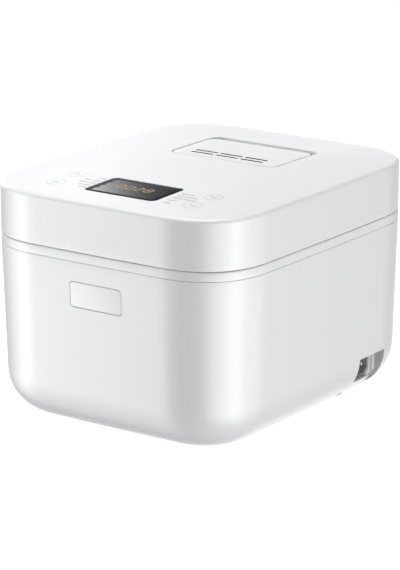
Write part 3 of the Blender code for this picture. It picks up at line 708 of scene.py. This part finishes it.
def make_base():
    shape = Shape()
    top = 8.9
    pairs = [(50.9, Z_FOOT), (50.4, Z_FOOT + 0.5), (50.4, 6.9), (41.4, 6.9), (41.0, 7.3)]
    pairs += [(41.0, 8.5), (41.4, top)]
    loops = shape.stack([outline(inset, z) for inset, z in pairs])
    slots = [rectangle((14.0 * k - 2.0, -30.0), (14.0 * k + 2.0, 30.0), 2.0) for k in range(-2, 3)]
    lower = [shape.loop(level(slot, Z_FOOT)) for slot in slots]
    upper = [shape.loop(level(slot, top)) for slot in slots]
    for low, high in zip(lower, upper):
        shape.skin(low, high)
    shape.fill(loops[0], lower)
    shape.fill(loops[-1], upper)
    made = shape.mesh_object("base_panel")
    posts = [rod("Z", spot, 3.8, 8.2, 16.0, 32) for spot in BASE_SCREWS]
    posts += [rod("Z", spot, 4.0, 8.1, 20.7, 32) for spot in mirrored(65.76, 65.76)]
    weld(made, *posts)
    carve(made, *[rod("Z", spot, 1.9, 2.0, 20.0, 32) for spot in BASE_SCREWS])
    piece(made, GREY_LIGHT, "body", "grey_plastic", "base_plate")


def screw(x, y, z, head_r, length):
    """A pan-head screw whose head faces down."""
    profile = [(head_r * 0.55, z), (head_r * 0.86, z + 0.12), (head_r, z + 0.45)]
    profile += [(head_r, z + 0.9), (SCREW_R, z + 1.3)]
    count = 10
    for k in range(1, count):
        height = z + (1.3 + (length - 1.3) * k / count)
        profile.append((SCREW_R - (0.28 if k % 2 else 0.0), height))
    profile.append((SCREW_R * 0.5, z + length))
    return turned(profile, 32, (x, y))


def cross_recess(x, y, z):
    return [
        block((x - width / 2, y - span / 2, z - 1.0), (x + width / 2, y + span / 2, z + 0.5))
        for width, span in ((0.7, 3.0), (3.0, 0.7))
    ]


def screw_set(name, body, spots, z, head_r, length, *nodes):
    """Screws in one piece, each with a cross recess in its head."""
    whole = Shape()
    arms = []
    for x, y in spots:
        whole.add(screw(x, y, z, head_r, length))
        arms += cross_recess(x, y, z)
    made = whole.mesh_object(name)
    carve(made, *arms)
    piece(made, STEEL, body, "steel", *nodes)


def make_screws():
    screw_set(
        "casing_screws", "body", BASE_SCREWS, 4.3, 3.0, 9.7,
        "base_screw_right", "base_screw_rear", "base_screw_left", "base_screw_front",
    )
    screw_set(
        "lid_screws", "lid", LID_SCREWS, 157.4, 3.2, 14.6,
        "lid_screw_front_left", "lid_screw_rear_left", "lid_screw_front_right",
        "lid_screw_rear_right",
    )


# Pot


def make_pot():
    flat_r, outer_bend, inner_bend = 66.0, 32.5, 30.5
    low, high = 34.0, 36.0
    outside = []
    inner = []
    for k in range(13):
        turn = math.pi / 2 * k / 12
        across, up = math.sin(turn), 1 - math.cos(turn)
        outside.append((flat_r + outer_bend * across, low + outer_bend * up))
        inner.append((flat_r + inner_bend * across, high + inner_bend * up))
    rim = [(101.3, 149.2), (101.9, 150.1), (109.4, 150.1), (110.0, 150.5), (110.0, 151.4)]
    rim += [(109.5, 151.9), (102.0, 151.9), (100.6, 151.6), (99.8, 150.9), (99.5, 149.9)]
    wall = [(98.5 + 2.8 * k / 6, 66.5 + 82.7 * k / 6) for k in range(1, 6)]
    lining = [(96.5 + 3.0 * k / 6, 66.5 + 83.4 * k / 6) for k in range(1, 6)]
    profile = outside + wall + rim + lining[::-1] + inner[::-1]
    shape = Shape()
    count = 144
    loops = shape.stack([circle(r, z, count) for r, z in profile])
    centre_low = shape.loop([(0.0, 0.0, low)])[0]
    centre_high = shape.loop([(0.0, 0.0, high)])[0]
    for k in range(count):
        after = (k + 1) % count
        shape.faces.append((loops[0][k], loops[0][after], centre_low))
        shape.faces.append((loops[-1][k], loops[-1][after], centre_high))
    made = shape.mesh_object("pot")
    piece(made, COATED, "body", "pot_coating", "inner_pot")
    made.data.materials.append(POT_OUTSIDE)
    made.data.materials.append(TURNED)
    for face in made.data.polygons:
        centre = face.center / MM
        reach = math.hypot(centre.x, centre.y - SHIFT_Y)
        outer = face.normal.x * centre.x + face.normal.y * (centre.y - SHIFT_Y) > 0.0
        if centre.z < 34.5 and reach < 70.0:
            face.material_index = 2
        elif centre.z > 149.2 and reach > 101.0:
            face.material_index = 0
        elif outer or face.normal.z < -0.5:
            face.material_index = 1
    make_water_marks()


def make_water_marks():
    """A printed scale of short lines on the pot's wall, with generic numbers."""
    whole = Shape()
    start = math.pi * 0.60
    for k in range(6):
        z = 66.0 + 12.5 * k
        radius = 96.5 + 3.0 * (z - 66.5) / 83.4 - 0.03
        span = 0.11 if k % 2 else 0.075
        whole.add(wall_patch(radius, start, span, z, 0.7))
        for ends in segments_of(k + 1):
            whole.add(wall_stroke(radius, start + span + 0.035, z, ends, 2.6, 5.2, 0.55))
    piece(whole.mesh_object("water_marks"), SCALE_PRINT, "body", "grey_plastic")


def wall_patch(radius, start, span, z, height):
    """A thin printed line on the inside of a round wall."""
    shape = Shape()
    count = 10
    corners = []
    for reach in (radius, radius - 0.04):
        for dz in (-height / 2, height / 2):
            turns = [start + span * k / count for k in range(count + 1)]
            row = [(reach * math.cos(t), reach * math.sin(t), z + dz) for t in turns]
            corners.append(shape.loop(row))
    a, b, c, d = corners
    for low, high in ((a, b), (b, d), (d, c), (c, a)):
        for k in range(count):
            shape.faces.append((low[k], low[k + 1], high[k + 1], high[k]))
    shape.faces.append((a[0], b[0], d[0], c[0]))
    shape.faces.append((a[-1], b[-1], d[-1], c[-1]))
    return shape


SEGMENTS = {
    0: "abcdef", 1: "bc", 2: "abged", 3: "abgcd", 4: "fgbc",
    5: "afgcd", 6: "afgedc", 7: "abc", 8: "abcdefg", 9: "abcdfg",
}
SEGMENT_ENDS = {
    "a": ((0, 2), (1, 2)), "b": ((1, 1), (1, 2)), "c": ((1, 0), (1, 1)), "d": ((0, 0), (1, 0)),
    "e": ((0, 0), (0, 1)), "f": ((0, 1), (0, 2)), "g": ((0, 1), (1, 1)),
}


def segments_of(digit):
    return [SEGMENT_ENDS[name] for name in SEGMENTS[digit]]


def wall_stroke(radius, turn, z, ends, width, height, thick):
    """One stroke of a number printed on the inside of a round wall."""
    (x0, z0), (x1, z1) = ends
    points = stroke_outline((x0 * width, z0 * height / 2), (x1 * width, z1 * height / 2), thick)
    points = [(turn - x / radius, z - height / 2 + dz) for x, dz in points]
    return solid(
        [
            [(reach * math.cos(t), reach * math.sin(t), point_z) for t, point_z in points]
            for reach in (radius, radius - 0.04)
        ]
    )


def stroke_outline(start, end, thick):
    """A stroke with pointed ends, as plane points."""
    a, b = Vector(start), Vector(end)
    along = (b - a).normalized()
    across = Vector((-along.y, along.x)) * thick / 2
    a = a + along * thick * 0.18
    b = b - along * thick * 0.18
    tip = along * thick / 2
    made = [a, a + tip + across, b - tip + across, b, b - tip - across, a + tip - across]
    return [tuple(p) for p in made]


# Power inlet bay


def inlet_outline(grow=0.0, radius=0.6):
    y0, y1 = 58.0 - grow, 85.0 + grow
    z0, z1 = 20.0 - grow, 40.0 + grow
    cut = 4.6
    corners = [(y0, z1), (y0, z0 + cut), (y0 + cut, z0), (y1 - cut, z0), (y1, z0 + cut), (y1, z1)]
    return rounded(corners, radius, 4)


def shell_inside(extra):
    """The space inside the casing's wall."""
    pairs = fillet(WALL + extra, Z_FOOT + WALL + extra, 0.925, 14)
    pairs.append((WALL + extra + 3.0, 60.0))
    return solid([outline(inset, z) for inset, z in pairs])


def make_inlet():
    made = prism(inlet_outline(), "X", 92.8, 110.0).mesh_object("inlet_housing")
    carve(made, prism(inlet_outline(-1.7, 0.4), "X", 96.0, 115.0))
    soften(made, 0.25, 2)
    piece(made, INLET, "body", "dark_plastic", "power_inlet")
    for name, y, z in (("line", 64.5, 29.0), ("earth", 71.5, 33.5), ("neutral", 78.5, 29.0)):
        sections = ((96.3, 1.0, 2.0), (106.6, 1.0, 2.0), (107.6, 0.75, 1.6), (108.0, 0.4, 1.2))
        rings = []
        for x, half_y, half_z in sections:
            points = rectangle((y - half_y, z - half_z), (y + half_y, z + half_z), 0.3, 3)
            rings.append([(x, p[0], p[1]) for p in points])
        pin = solid(rings).mesh_object(f"inlet_blade_{name}")
        piece(pin, STEEL, "body", "steel", f"inlet_pin_{name}")


def bay_piece(shape, name, inset, *cuts):
    """A piece of the bay, cut and then trimmed to the casing's inside."""
    made = shape.mesh_object(name)
    if cuts:
        carve(made, *cuts)
    return combine(made, [shell_inside(inset)], "INTERSECT")


def make_bay():
    made = block((101.0, 53.0, 11.0), (124.0, 110.0, 43.0)).mesh_object("bay_lining")
    carve(made, slab("X", (55.0, 13.0), (108.0, 41.0), 1.2, 103.0, 140.0))
    weld(made, slab("X", (54.0, 12.0), (89.6, 42.0), 0.8, 102.0, 110.0, 3))
    rib = slab("X", (89.0, 12.0), (92.4, 42.0), 0.3, 102.0, 112.0, 3)
    carve(made, prism(inlet_outline(0.3), "X", 90.0, 140.0), rib)
    combine(made, [shell_inside(0.4)], "INTERSECT")
    piece(made, GREY_LIGHT, "body", "grey_plastic", "inlet_bay")

    made = bay_piece(slab("X", (89.2, 12.2), (91.6, 41.8), 0.3, 103.2, 111.8, 3), "bay_post", 0.4)
    piece(made, WHITE, "body", "white_casing")
    # A grey sheet over the casing's white cut edge behind the post: painted shade on that wall.
    wall = slab("Y", (103.4, 12.4), (123.0, 41.6), 0.3, 91.8, 92.3, 3)
    piece(bay_piece(wall, "bay_side_painted_shade", 0.7 - WALL), GREY_LIGHT, "body", "grey_plastic")

    panel = slab("X", (93.2, 13.6), (107.4, 40.4), 0.8, 103.4, 105.2, 3)
    slots = []
    for k in range(5):
        low = 17.5 + 4.6 * k
        slots.append(slab("X", (95.0, low), (105.6, low + 2.0), 0.9, 98.0, 110.0))
    made = bay_piece(panel, "bay_grille", 0.8, *slots)
    piece(made, GREY, "body", "grey_plastic", "vent_grille")


# Button


def make_button():
    rings = [[(x, -143.7, z) for x, z in button_loop(0.0, 3.0)]]
    for shrink, depth in quarter_round(0.55, 6):
        points = button_loop(-shrink, 3.0 - shrink * 0.5)
        rings.append([(x, face_y(z) + 0.05 + depth, z) for x, z in points])
    made = solid(rings).mesh_object("button_cap")
    flange = slab("Y", (-27.6, 113.0), (27.6, 130.2), 1.0, -144.1, -143.3)
    post = slab("Y", (-6.0, 116.6), (6.0, 121.2), 0.8, -143.9, -141.8)
    weld(made, flange, post)
    piece(made, WHITE, "button", "white_casing", "release_button")
    for name, x in (("left", -17.0), ("right", 17.0)):
        spring = coil((x, -142.4, BUTTON_Z), "Y", 9.8, 3.2, 0.5, 4)
        spring = spring.mesh_object(f"return_coil_{name}")
        piece(spring, STEEL, "body", "steel", f"button_spring_{name}")
        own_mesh(spring)


def make_thermostat_spring():
    spring = coil((0.0, 0.0, 15.2), "Z", 16.0, 10.0, 0.8, 4).mesh_object("thermostat_coil")
    piece(spring, STEEL, "body", "steel", "thermostat_spring")
    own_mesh(spring)


# Hinge


def hinge_half(name, body, leaf, knuckles, webs, node):
    """A leaf with rounded corners, its knuckles and the webs that join them."""
    made = slab("Y", *leaf, 2.4, 148.5, 150.5, 6).mesh_object(name)
    parts = []
    for low, high in knuckles:
        parts.append(rod("X", HINGE, 3.98, low, high, 64))
        parts.append(block((low, 148.45, webs[0]), (high, 150.48, webs[1])))
    weld(made, *parts)
    carve(made, rod("X", HINGE, 1.9, -45.0, 45.0, 48))
    piece(made, WHITE, body, "white_casing", node)


def make_hinge():
    hinge_half(
        "hinge_leaf_body", "body", ((-32.0, 128.0), (32.0, 142.2)),
        ((-32.0, -28.0), (-11.5, -8.5), (8.5, 11.5), (28.0, 32.0)), (141.0, 147.0),
        "hinge_bracket",
    )
    hinge_half(
        "hinge_leaf_lid", "lid", ((-27.5, 152.6), (27.5, 174.0)),
        ((-27.5, -12.0), (12.0, 27.5)), (147.0, 154.0), "lid_hinge_arm",
    )
    rings = []
    for x, r in ((-31.8, 1.2), (-31.4, 1.6), (31.4, 1.6), (31.8, 1.2)):
        rings.append([(x, y, z) for y, z, _ in circle(r, 0.0, 32, HINGE)])
    piece(solid(rings).mesh_object("hinge_axle"), STEEL, "body", "steel", "hinge_pin")
    spring = coil((-7.4, *HINGE), "X", 14.8, 2.9, 0.5, 6)
    piece(spring.mesh_object("hinge_coil"), STEEL, "body", "steel", "hinge_spring")


# Lid


def vent_loop(grow):
    low, high = (-VENT_X - grow, VENT_Y[0] - grow), (VENT_X + grow, VENT_Y[1] + grow)
    return split_long(rectangle(low, high, 7.0 + grow, 12))


def split_long(points, parts=24):
    """Adds points to the four straight runs of a rounded rectangle."""
    made = []
    for k, (x, y) in enumerate(points):
        made.append((x, y))
        after = points[(k + 1) % len(points)]
        dx, dy = after[0] - x, after[1] - y
        if math.hypot(dx, dy) > 4.0:
            made += [(x + dx * j / parts, y + dy * j / parts) for j in range(1, parts)]
    return made


def display_loop(grow):
    half_w, half_d = DISPLAY_SIZE[0] / 2 + grow, DISPLAY_SIZE[1] / 2 + grow
    points = rectangle((-half_w, DISPLAY_Y - half_d), (half_w, DISPLAY_Y + half_d), 5.0 + grow, 10)
    return split_long(points, 16)


def lip(shape, loop, steps, support):
    """Loops that round a recess's edge, from the flat top down into the recess."""
    reach = 0.2
    rings = [raised(loop(reach + support), lid_top)]
    rings += [raised(loop(grow), lid_top, drop) for drop, grow in quarter_round(reach, steps)]
    loops = shape.stack(rings)
    return loops[0], loops[-1]


def make_lid():
    shape = Shape()
    low = Z_SEAM + 0.3
    pairs = [(WALL, low), (0.5, low), (0.22, low + 0.06), (0.06, low + 0.22), (0.0, low + 0.5)]
    for k in range(1, 10):
        pairs.append((0.0, low + 0.5 + (Z_LID_SIDE - 1.0 - low - 0.5) * k / 9))
    pairs.append((0.0, Z_LID_SIDE))
    for k in range(1, 15):
        turn = math.radians(87.0) * k / 14
        inset = LID_ROUND * (1 - math.cos(turn))
        pairs.append((inset, Z_LID_SIDE + (Z_LID_EDGE - Z_LID_SIDE) * math.sin(turn)))
    rings = [outline(inset, z) for inset, z in pairs]
    rings += [rim_ring(share) for share in (0.99, 0.975, 0.955)]
    sides = shape.stack(rings)

    vent_top, vent_edge = lip(shape, vent_loop, 5, 0.5)
    panel_top, panel_edge = lip(shape, lambda grow: display_loop(grow + 0.3), 4, 0.4)
    shape.fill(sides[-1], [vent_top, panel_top], lid_top, 4.5)

    # Vent recess: wall, floor with the round steam opening, and underside.
    vent_floor = shape.loop(level(vent_loop(0.0), WELL_FLOOR_Z + 0.8))
    vent_round = shape.loop(level(vent_loop(-0.23), WELL_FLOOR_Z + 0.23))
    vent_flat = shape.loop(level(vent_loop(-0.8), WELL_FLOOR_Z))
    shape.skin(vent_edge, vent_floor)
    shape.skin(vent_floor, vent_round)
    shape.skin(vent_round, vent_flat)
    below = WELL_FLOOR_Z - 2.4
    throat = shape.stack([circle(20.6, z, 96, (0.0, STEAM_Y)) for z in (WELL_FLOOR_Z, below)])
    shape.fill(vent_flat, [throat[0]])
    under = shape.loop(level(vent_loop(2.4), below))
    shape.fill(under, [throat[1]])

    # Display seat.
    seat = shape.loop(level(display_loop(0.3), DISPLAY_SEAT_Z))
    seat_in = shape.loop(level(display_loop(-4.0), DISPLAY_SEAT_Z))
    seat_low = shape.loop(level(display_loop(-4.0), DISPLAY_SEAT_Z - 2.0))
    seat_out = shape.loop(level(display_loop(4.0), DISPLAY_SEAT_Z - 2.0))
    for a, b in ((panel_edge, seat), (seat, seat_in), (seat_in, seat_low), (seat_low, seat_out)):
        shape.skin(a, b)

    # Inside face.
    rings = [outline(WALL, 193.0), outline(3.4, 194.8), outline(5.6, 195.7)]
    inner = shape.stack([*rings, rim_ring(0.94, WALL)])
    shape.skin(sides[0], inner[0])
    under_top = shape.loop(raised(vent_loop(2.4), lid_top, WALL))
    seat_top = shape.loop(raised(display_loop(4.0), lid_top, WALL))
    shape.skin(under_top, under)
    shape.skin(seat_top, seat_out)
    shape.fill(inner[-1], [under_top, seat_top], lambda x, y: lid_top(x, y) - WALL, 14.0)
    made = shape.mesh_object("lid_shell", 30.0)
    piece(made, WHITE, "lid", "white_casing", "lid_cover")


def glass_top(x, y):
    """Height of the display window's flat, tilted face."""
    front, back = DISPLAY_TOP_Z
    return (front + back) / 2 + (y - DISPLAY_Y) * (back - front) / DISPLAY_SIZE[1]


def make_display():
    shape = Shape()
    sunk = 0.03
    rings = [level(display_loop(0.0), DISPLAY_SEAT_Z + 0.3)]
    for shrink, drop in quarter_round(0.25, 4):
        rings.append(raised(display_loop(-shrink), glass_top, sunk + drop))
    loops = shape.stack(rings)
    shape.fill(loops[0])
    shape.fill(loops[-1], (), lambda x, y: glass_top(x, y) - sunk)
    made = shape.mesh_object("display_glass", 40.0)
    piece(made, GLASS, "lid", "window", "display_window")

    width, half_height, stroke, slant = 5.3, 4.1, 1.1, 0.16
    lit = Shape()
    for k, digit in enumerate((0, 0, 2, 8)):
        left = -18.0 + 9.2 * k
        for (x0, y0), (x1, y1) in segments_of(digit):
            start, end = (x0 * width, y0 * half_height), (x1 * width, y1 * half_height)
            points = stroke_outline(start, end, stroke)
            points = [(left + x + y * slant, -96.7 + y) for x, y in points]
            lit.add(printed(points, glass_top, -sunk, 0.02))
    piece(lit.mesh_object("display_digits"), LIT, "lid", "window")
    dot = [(x, y) for x, y, _ in circle(0.7, 0.0, 16, (-27.0, -94.0))]
    lamp = printed(dot, glass_top, -sunk, 0.02)
    piece(lamp.mesh_object("display_dot"), SCALE_PRINT, "lid", "window")


def printed(points, height=lid_top, offset=0.0, thick=0.03):
    """A thin print that follows the lid's top or the window."""
    return solid([raised(points, height, 0.02 - offset), raised(points, height, -offset - thick)])


def printed_ring(x, y, radius, width):
    rings = []
    for side, drop in ((1, 0.02), (1, -0.03), (-1, -0.03), (-1, 0.02)):
        around = circle(radius + side * width / 2, 0.0, 64, (x, y))
        rings.append(raised([point[:2] for point in around], lid_top, drop))
    return hoop(rings)


def make_prints():
    keys = Shape()
    for x, y in ((-67.7, -109.0), (-68.2, -81.0), (68.2, -81.0), (67.7, -109.0)):
        keys.add(printed_ring(x, y, 7.6, 0.5))
        keys.add(printed(rectangle((x - 3.2, y - 0.8), (x + 3.2, y + 0.8), 0.4, 3)))
    piece(keys.mesh_object("key_prints"), PRINT, "lid", "grey_plastic")

    legends = (
        (-81.5, ((-45.6, -37.5),)), (-90.0, ((-53.2, -46.5), (-44.8, -37.4))),
        (-96.8, ((-53.6, -45.6), (-43.6, -37.2))), (-104.1, ((-48.5, -44.9), (-43.9, -37.0))),
        (-110.4, ((-44.4, -37.0),)),
        (-85.6, ((40.6, 52.6),)), (-92.1, ((40.6, 60.6),)),
        (-98.7, ((40.8, 50.0), (51.4, 63.2))), (-106.4, ((41.0, 51.0),)),
        (-113.9, ((41.2, 49.4),)),
    )
    legend = Shape()
    for y, spans in legends:
        for low, high in spans:
            legend.add(printed(rectangle((low, y - 0.9), (high, y + 0.9), 0.4, 3)))
    piece(legend.mesh_object("legend_prints"), PRINT, "lid", "grey_plastic")


def vent_plate(grow):
    half = 51.9 + grow
    low, high = (-half, VENT_PLATE_Y[0] - grow), (half, VENT_PLATE_Y[1] + grow)
    return split_long(rectangle(low, high, 6.2 + grow, 12))


def vent_face(x, y):
    """Height of the vent cover's face, just below the lid's top."""
    return lid_top(x, y) - 0.16


def slot_loop(x, y, grow):
    half = SLOT_W / 2 + grow
    return rectangle((x[0] - grow, y - half), (x[1] + grow, y + half), 0.95 + grow, 6)


def make_vent_cover():
    shape = Shape()
    rings = []
    for grow, z in ((-2.2, 198.2), (-2.2, 193.3), (-1.9, 193.0), (-0.3, 193.0), (0.0, 193.3)):
        rings.append(level(vent_plate(grow), z))
    for shrink, drop in quarter_round(0.15, 5):
        rings.append(raised(vent_plate(-shrink), vent_face, drop))
    loops = shape.stack(rings)
    shape.fill(loops[0])
    shape.fill(loops[-1], (), vent_face)
    made = shape.mesh_object("vent_cover_plate")
    neck = [(19.6, 199.2), (19.6, 172.4), (19.3, 172.0), (17.7, 172.0), (17.4, 172.3), (17.4, 199.2)]
    weld(made, turned(neck, 96, (0.0, STEAM_Y), ring_shaped=True))
    carve(made, *[prism(slot_loop(x, y, 0.0), "Z", 197.0, 205.0) for x, y in SLOTS])
    piece(made, WHITE, "vent_cover", "white_casing", "steam_cover")


def shade_sleeve(loop, low_z, gap):
    """A thin dark sheet of painted shade that follows a loop, up to just under the vent cover's face.
    """
    inner = min(gap - 0.2, 0.1)
    rings = [
        level(loop(gap), low_z), raised(loop(gap), vent_face, 0.06),
        raised(loop(inner), vent_face, 0.06), level(loop(inner), low_z),
    ]
    return hoop(rings)


def make_vent_painted_shade():
    """Dark sleeves in the slots and in the gap round the plate: painted shade where light does not
    reach deep.
    """
    # lining holds dark sheets of painted shade in the slots and in the gap round the plate, cut away
    # at the plate's back edge.
    lining = Shape()
    for x, y in SLOTS:
        lining.add(shade_sleeve(lambda grow, x=x, y=y: slot_loop(x, y, grow), 198.3, -0.03))
    lining.add(shade_sleeve(vent_plate, 194.0, 0.9))
    made = lining.mesh_object("vent_cover_painted_shade")
    carve(made, block((-47.0, 80.0, 190.0), (47.0, 95.0, 205.0)))
    piece(made, DARK, "vent_cover", "dark_plastic")


def make_steam_valve():
    centre = (0.0, STEAM_Y)
    seat = rounded(
        [(5.0, 168.8), (19.6, 168.8), (19.6, 171.7), (17.1, 171.7), (17.1, 178.0),
         (15.6, 178.0), (15.6, 170.8), (5.0, 170.8)],
        0.5, 3,
    )
    made = turned(seat, 96, centre, ring_shaped=True).mesh_object("valve_seat")
    piece(made, WHITE_INSIDE, "vent_cover", "white_casing", "steam_valve_seat")
    low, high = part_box("valve_ball")
    middle = (low.z + high.z) / 2 / MM
    radius = 7.0
    turns = [math.pi * k / 24 for k in range(1, 24)]
    profile = [(radius * math.sin(t), middle - radius * math.cos(t)) for t in turns]
    made = turned(profile, 48, centre).mesh_object("steam_ball")
    piece(made, STEEL, "vent_cover", "steel", "valve_ball")
    gasket = rounded([(19.95, 180.0), (21.5, 180.0), (21.5, 184.0), (19.95, 184.0)], 0.6, 4)
    made = turned(gasket, 96, centre, ring_shaped=True).mesh_object("steam_gasket")
    piece(made, SILICONE, "lid", "silicone", "valve_gasket")


def make_lining():
    deck = Z_SEAM + 0.6
    inner = (
        (109.6, 158.0), (110.0, 157.6), (110.0, 153.7), (110.3, 153.4), (111.3, 153.4),
        (111.6, 153.7), (111.6, deck - 0.4), (112.0, deck),
    )
    outer = ((3.5, deck), (3.2, deck + 0.3), (3.2, 160.6))
    rings = [outline_circle(radius, z) for radius, z in inner]
    rings += [outline(inset, z) for inset, z in outer]
    made = solid(rings).mesh_object("lid_lining")
    weld(made, rod("Z", (0.0, STEAM_Y), 24.0, 159.2, 188.6, 96))
    holes = [rod("Z", (0.0, STEAM_Y), 21.8, 140.0, 200.0, 96)]
    holes.append(slab("Z", (-12.2, -139.6), (12.2, -135.8), 0.8, 150.0, 170.0))
    holes.append(rod("Z", SENSOR, 4.5, 150.0, 170.0, 48))
    for spot in LID_SCREWS:
        holes.append(rod("Z", spot, 1.9, 150.0, 170.0, 32))
        holes.append(rod("Z", spot, 3.7, 150.0, 159.2, 48))
    carve(made, *holes)
    piece(made, WHITE_INSIDE, "lid", "white_casing", "lid_liner")


def make_inner_lid():
    upper = [(5.0, 155.4), (9.0, 155.4), (61.5, 155.4), (64.0, 155.25), (68.0, 154.9)]
    upper += [(76.0, 154.55), (80.0, 154.4), (103.0, 154.4), (103.5, 154.1)]
    lower = [(r, z - 1.0) for r, z in upper[:-2]][::-1]
    profile = upper + [(103.5, 153.7), (103.2, 153.4)] + lower
    made = turned(profile, 144, ring_shaped=True).mesh_object("inner_lid_disc")
    holes = []
    for x, y, _ in circle(10.0, 0.0, 6, (0.0, STEAM_Y - 12.0)):
        holes.append(rod("Z", (x, y), 3.0, 150.0, 160.0, 40))
    carve(made, *holes)
    piece(made, TURNED, "lid", "aluminium", "inner_lid_plate")

    seal = rounded(
        [(99.0, 152.2), (108.6, 152.2), (108.6, 156.4), (103.9, 156.4), (103.9, 153.1),
         (99.0, 153.1)],
        [0.4, 0.8, 0.6, 0.5, 0.2, 0.4], 4,
    )
    made = turned(seal, 144, ring_shaped=True).mesh_object("lid_seal")
    piece(made, SILICONE, "lid", "silicone", "sealing_ring")

    knob = [(1.5, 149.9), (6.4, 149.75), (7.4, 149.1), (8.6, 149.0), (10.0, 149.35), (10.8, 150.2)]
    knob += [(11.0, 151.2), (11.0, 153.3), (10.7, 153.9), (4.6, 154.1), (4.4, 154.4), (4.4, 157.7)]
    made = turned(knob, 96).mesh_object("lid_knob")
    piece(made, SILICONE, "lid", "silicone", "inner_lid_knob")

    sensor = [(2.2, 155.8), (3.4, 156.0), (4.0, 156.6), (4.1, 157.4), (4.1, 166.0)]
    made = turned(sensor, 64, SENSOR).mesh_object("lid_sensor")
    piece(made, STEEL, "lid", "steel", "lid_temperature_sensor")


# Pieces that stay as they are in the CAD get their materials here.
CARRIED_OVER = (
    (GALVANISED, ("inner_housing", "thermostat_bracket")),
    (MICA, ("keep_warm_band",)),
    (ALUMINIUM, ("heating_plate", "thermostat_sensor")),
    (STEEL, ("heating_element", "latch_pin", "latch_striker")),
    (SILICONE, ("thermal_fuse",)),
    (BOARD, ("power_board", "control_board")),
    (DARK, ("relay", "transformer", "capacitor", "display_module")),
    (GREY_LIGHT, ("terminal_block",)),
    (GREY, ("latch_bracket", "latch_hook")),
)


def dress_carried_over():
    for material, names in CARRIED_OVER:
        for name in names:
            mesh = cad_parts[name].data
            mesh.materials.clear()
            mesh.materials.append(material)
            for face in mesh.polygons:
                face.material_index = 0


# Studio


def make_floor():
    """A plain pale floor that reaches far out, so that no edge shows."""
    shape = Shape()
    rings = [circle(radius, -0.02, 96) for radius in (300.0, 800.0, 2000.0, 6000.0)]
    loops = shape.stack(rings)
    shape.cap(loops[0])
    floor = shape.mesh_object("studio_floor")
    material = bpy.data.materials.new("studio_floor_paint")
    material.use_nodes = True
    tree = material.node_tree
    tree.nodes.remove(tree.nodes["Principled BSDF"])
    paint = add_node(tree, "BsdfDiffuse", {"Color": (0.3, 0.3, 0.3, 1.0)})
    glow = add_node(tree, "Emission", {"Color": (1.0, 1.0, 1.0, 1.0), "Strength": 0.84})
    both = add_node(tree, "AddShader", {0: paint.outputs["BSDF"], 1: glow.outputs["Emission"]})
    tree.links.new(both.outputs["Shader"], tree.nodes["Material Output"].inputs["Surface"])
    floor.data.materials.append(material)
    floor.visible_diffuse = False
    floor.visible_glossy = False


# Soft lamps all round: (azimuth, elevation, radiance, spread), with the angles in degrees.
LAMPS = (
    (-137, -20, 3.80, 9),
    (-144, 4, 4.16, 13),
    (-40, -21, 2.20, 14),
    (41, -19, 1.33, 9),
    (-2, -20, 3.78, 17),
    (140, 73, 4.08, 17),
    (-161, 38, 1.20, 12),
    (-157, -31, 3.02, 14),
    (149, 12, 4.50, 9),
    (-47, 60, 1.60, 13),
    (10, 54, 2.20, 9),
    (115, -30, 1.40, 18),
    (-60, -62, 0.35, 22),
    (128.6, 16.3, 8.5, 0.69),
    (121, 7, 0.62, 7),
)
AMBIENT = 0.06


def make_room():
    """A white room for the camera, lit by soft lamps that only the object sees."""
    world = bpy.data.worlds.new("studio")
    bpy.context.scene.world = world
    world.use_nodes = True
    tree = world.node_tree
    tree.nodes.clear()
    direction = add_node(tree, "TexCoord").outputs["Generated"]

    def arithmetic(operation, first, second=0.0):
        return add_node(tree, "Math", {0: first, 1: second}, operation=operation).outputs["Value"]

    light = AMBIENT
    for azimuth, elevation, radiance, spread in LAMPS:
        turn, rise = math.radians(azimuth), math.radians(elevation)
        towards = (math.cos(rise) * math.cos(turn), math.cos(rise) * math.sin(turn), math.sin(rise))
        along = add_node(tree, "VectorMath", {0: direction, 1: towards}, operation="DOT_PRODUCT")
        away = arithmetic("SUBTRACT", along.outputs["Value"], 1.0)
        fall = arithmetic("DIVIDE", away, math.radians(spread) ** 2)
        lamp = arithmetic("MULTIPLY", arithmetic("EXPONENT", fall), radiance)
        light = arithmetic("ADD", lamp, light)

    white = (1.0, 1.0, 1.0, 1.0)
    unseen = add_node(tree, "Background", {"Color": white, "Strength": light})
    seen = add_node(tree, "Background", {"Color": white, "Strength": 1.0})
    ray = add_node(tree, "LightPath").outputs["Is Camera Ray"]
    ends = {1: unseen.outputs["Background"], 2: seen.outputs["Background"]}
    choice = add_node(tree, "MixShader", {"Fac": ray, **ends})
    add_node(tree, "OutputWorld", {"Surface": choice.outputs["Shader"]})


def make_camera():
    """The photograph's viewpoint, found from the casing's outline."""
    yaw = math.radians(-35.38)
    pitch = math.radians(15.89)
    roll = math.radians(-0.12)
    ahead = Vector(
        (math.sin(yaw) * math.cos(pitch), math.cos(yaw) * math.cos(pitch), -math.sin(pitch))
    )
    across = Vector((math.cos(yaw), -math.sin(yaw), 0.0))
    above = across.cross(ahead)
    right = math.cos(roll) * across + math.sin(roll) * above
    up = -math.sin(roll) * across + math.cos(roll) * above
    data = bpy.data.cameras.new("camera")
    data.lens = 179.92
    data.sensor_width = 36.0
    data.clip_end = 20.0
    camera = bpy.data.objects.new("camera", data)
    bpy.context.scene.collection.objects.link(camera)
    turn = Matrix((right, up, -ahead)).transposed().to_4x4()
    camera.matrix_world = Matrix.Translation((1.3213, -1.8649 + SHIFT_Y * MM, 0.7491)) @ turn
    bpy.context.scene.camera = camera


make_camera()
make_room()
make_floor()
make_casing()
make_collar()
make_feet()
make_base()
make_screws()
make_pot()
make_inlet()
make_bay()
make_button()
make_thermostat_spring()
make_hinge()
make_lid()
make_display()
make_prints()
make_vent_cover()
make_vent_painted_shade()
make_steam_valve()
make_lining()
make_inner_lid()
dress_carried_over()
bpy.context.scene.view_settings.view_transform = "Standard"
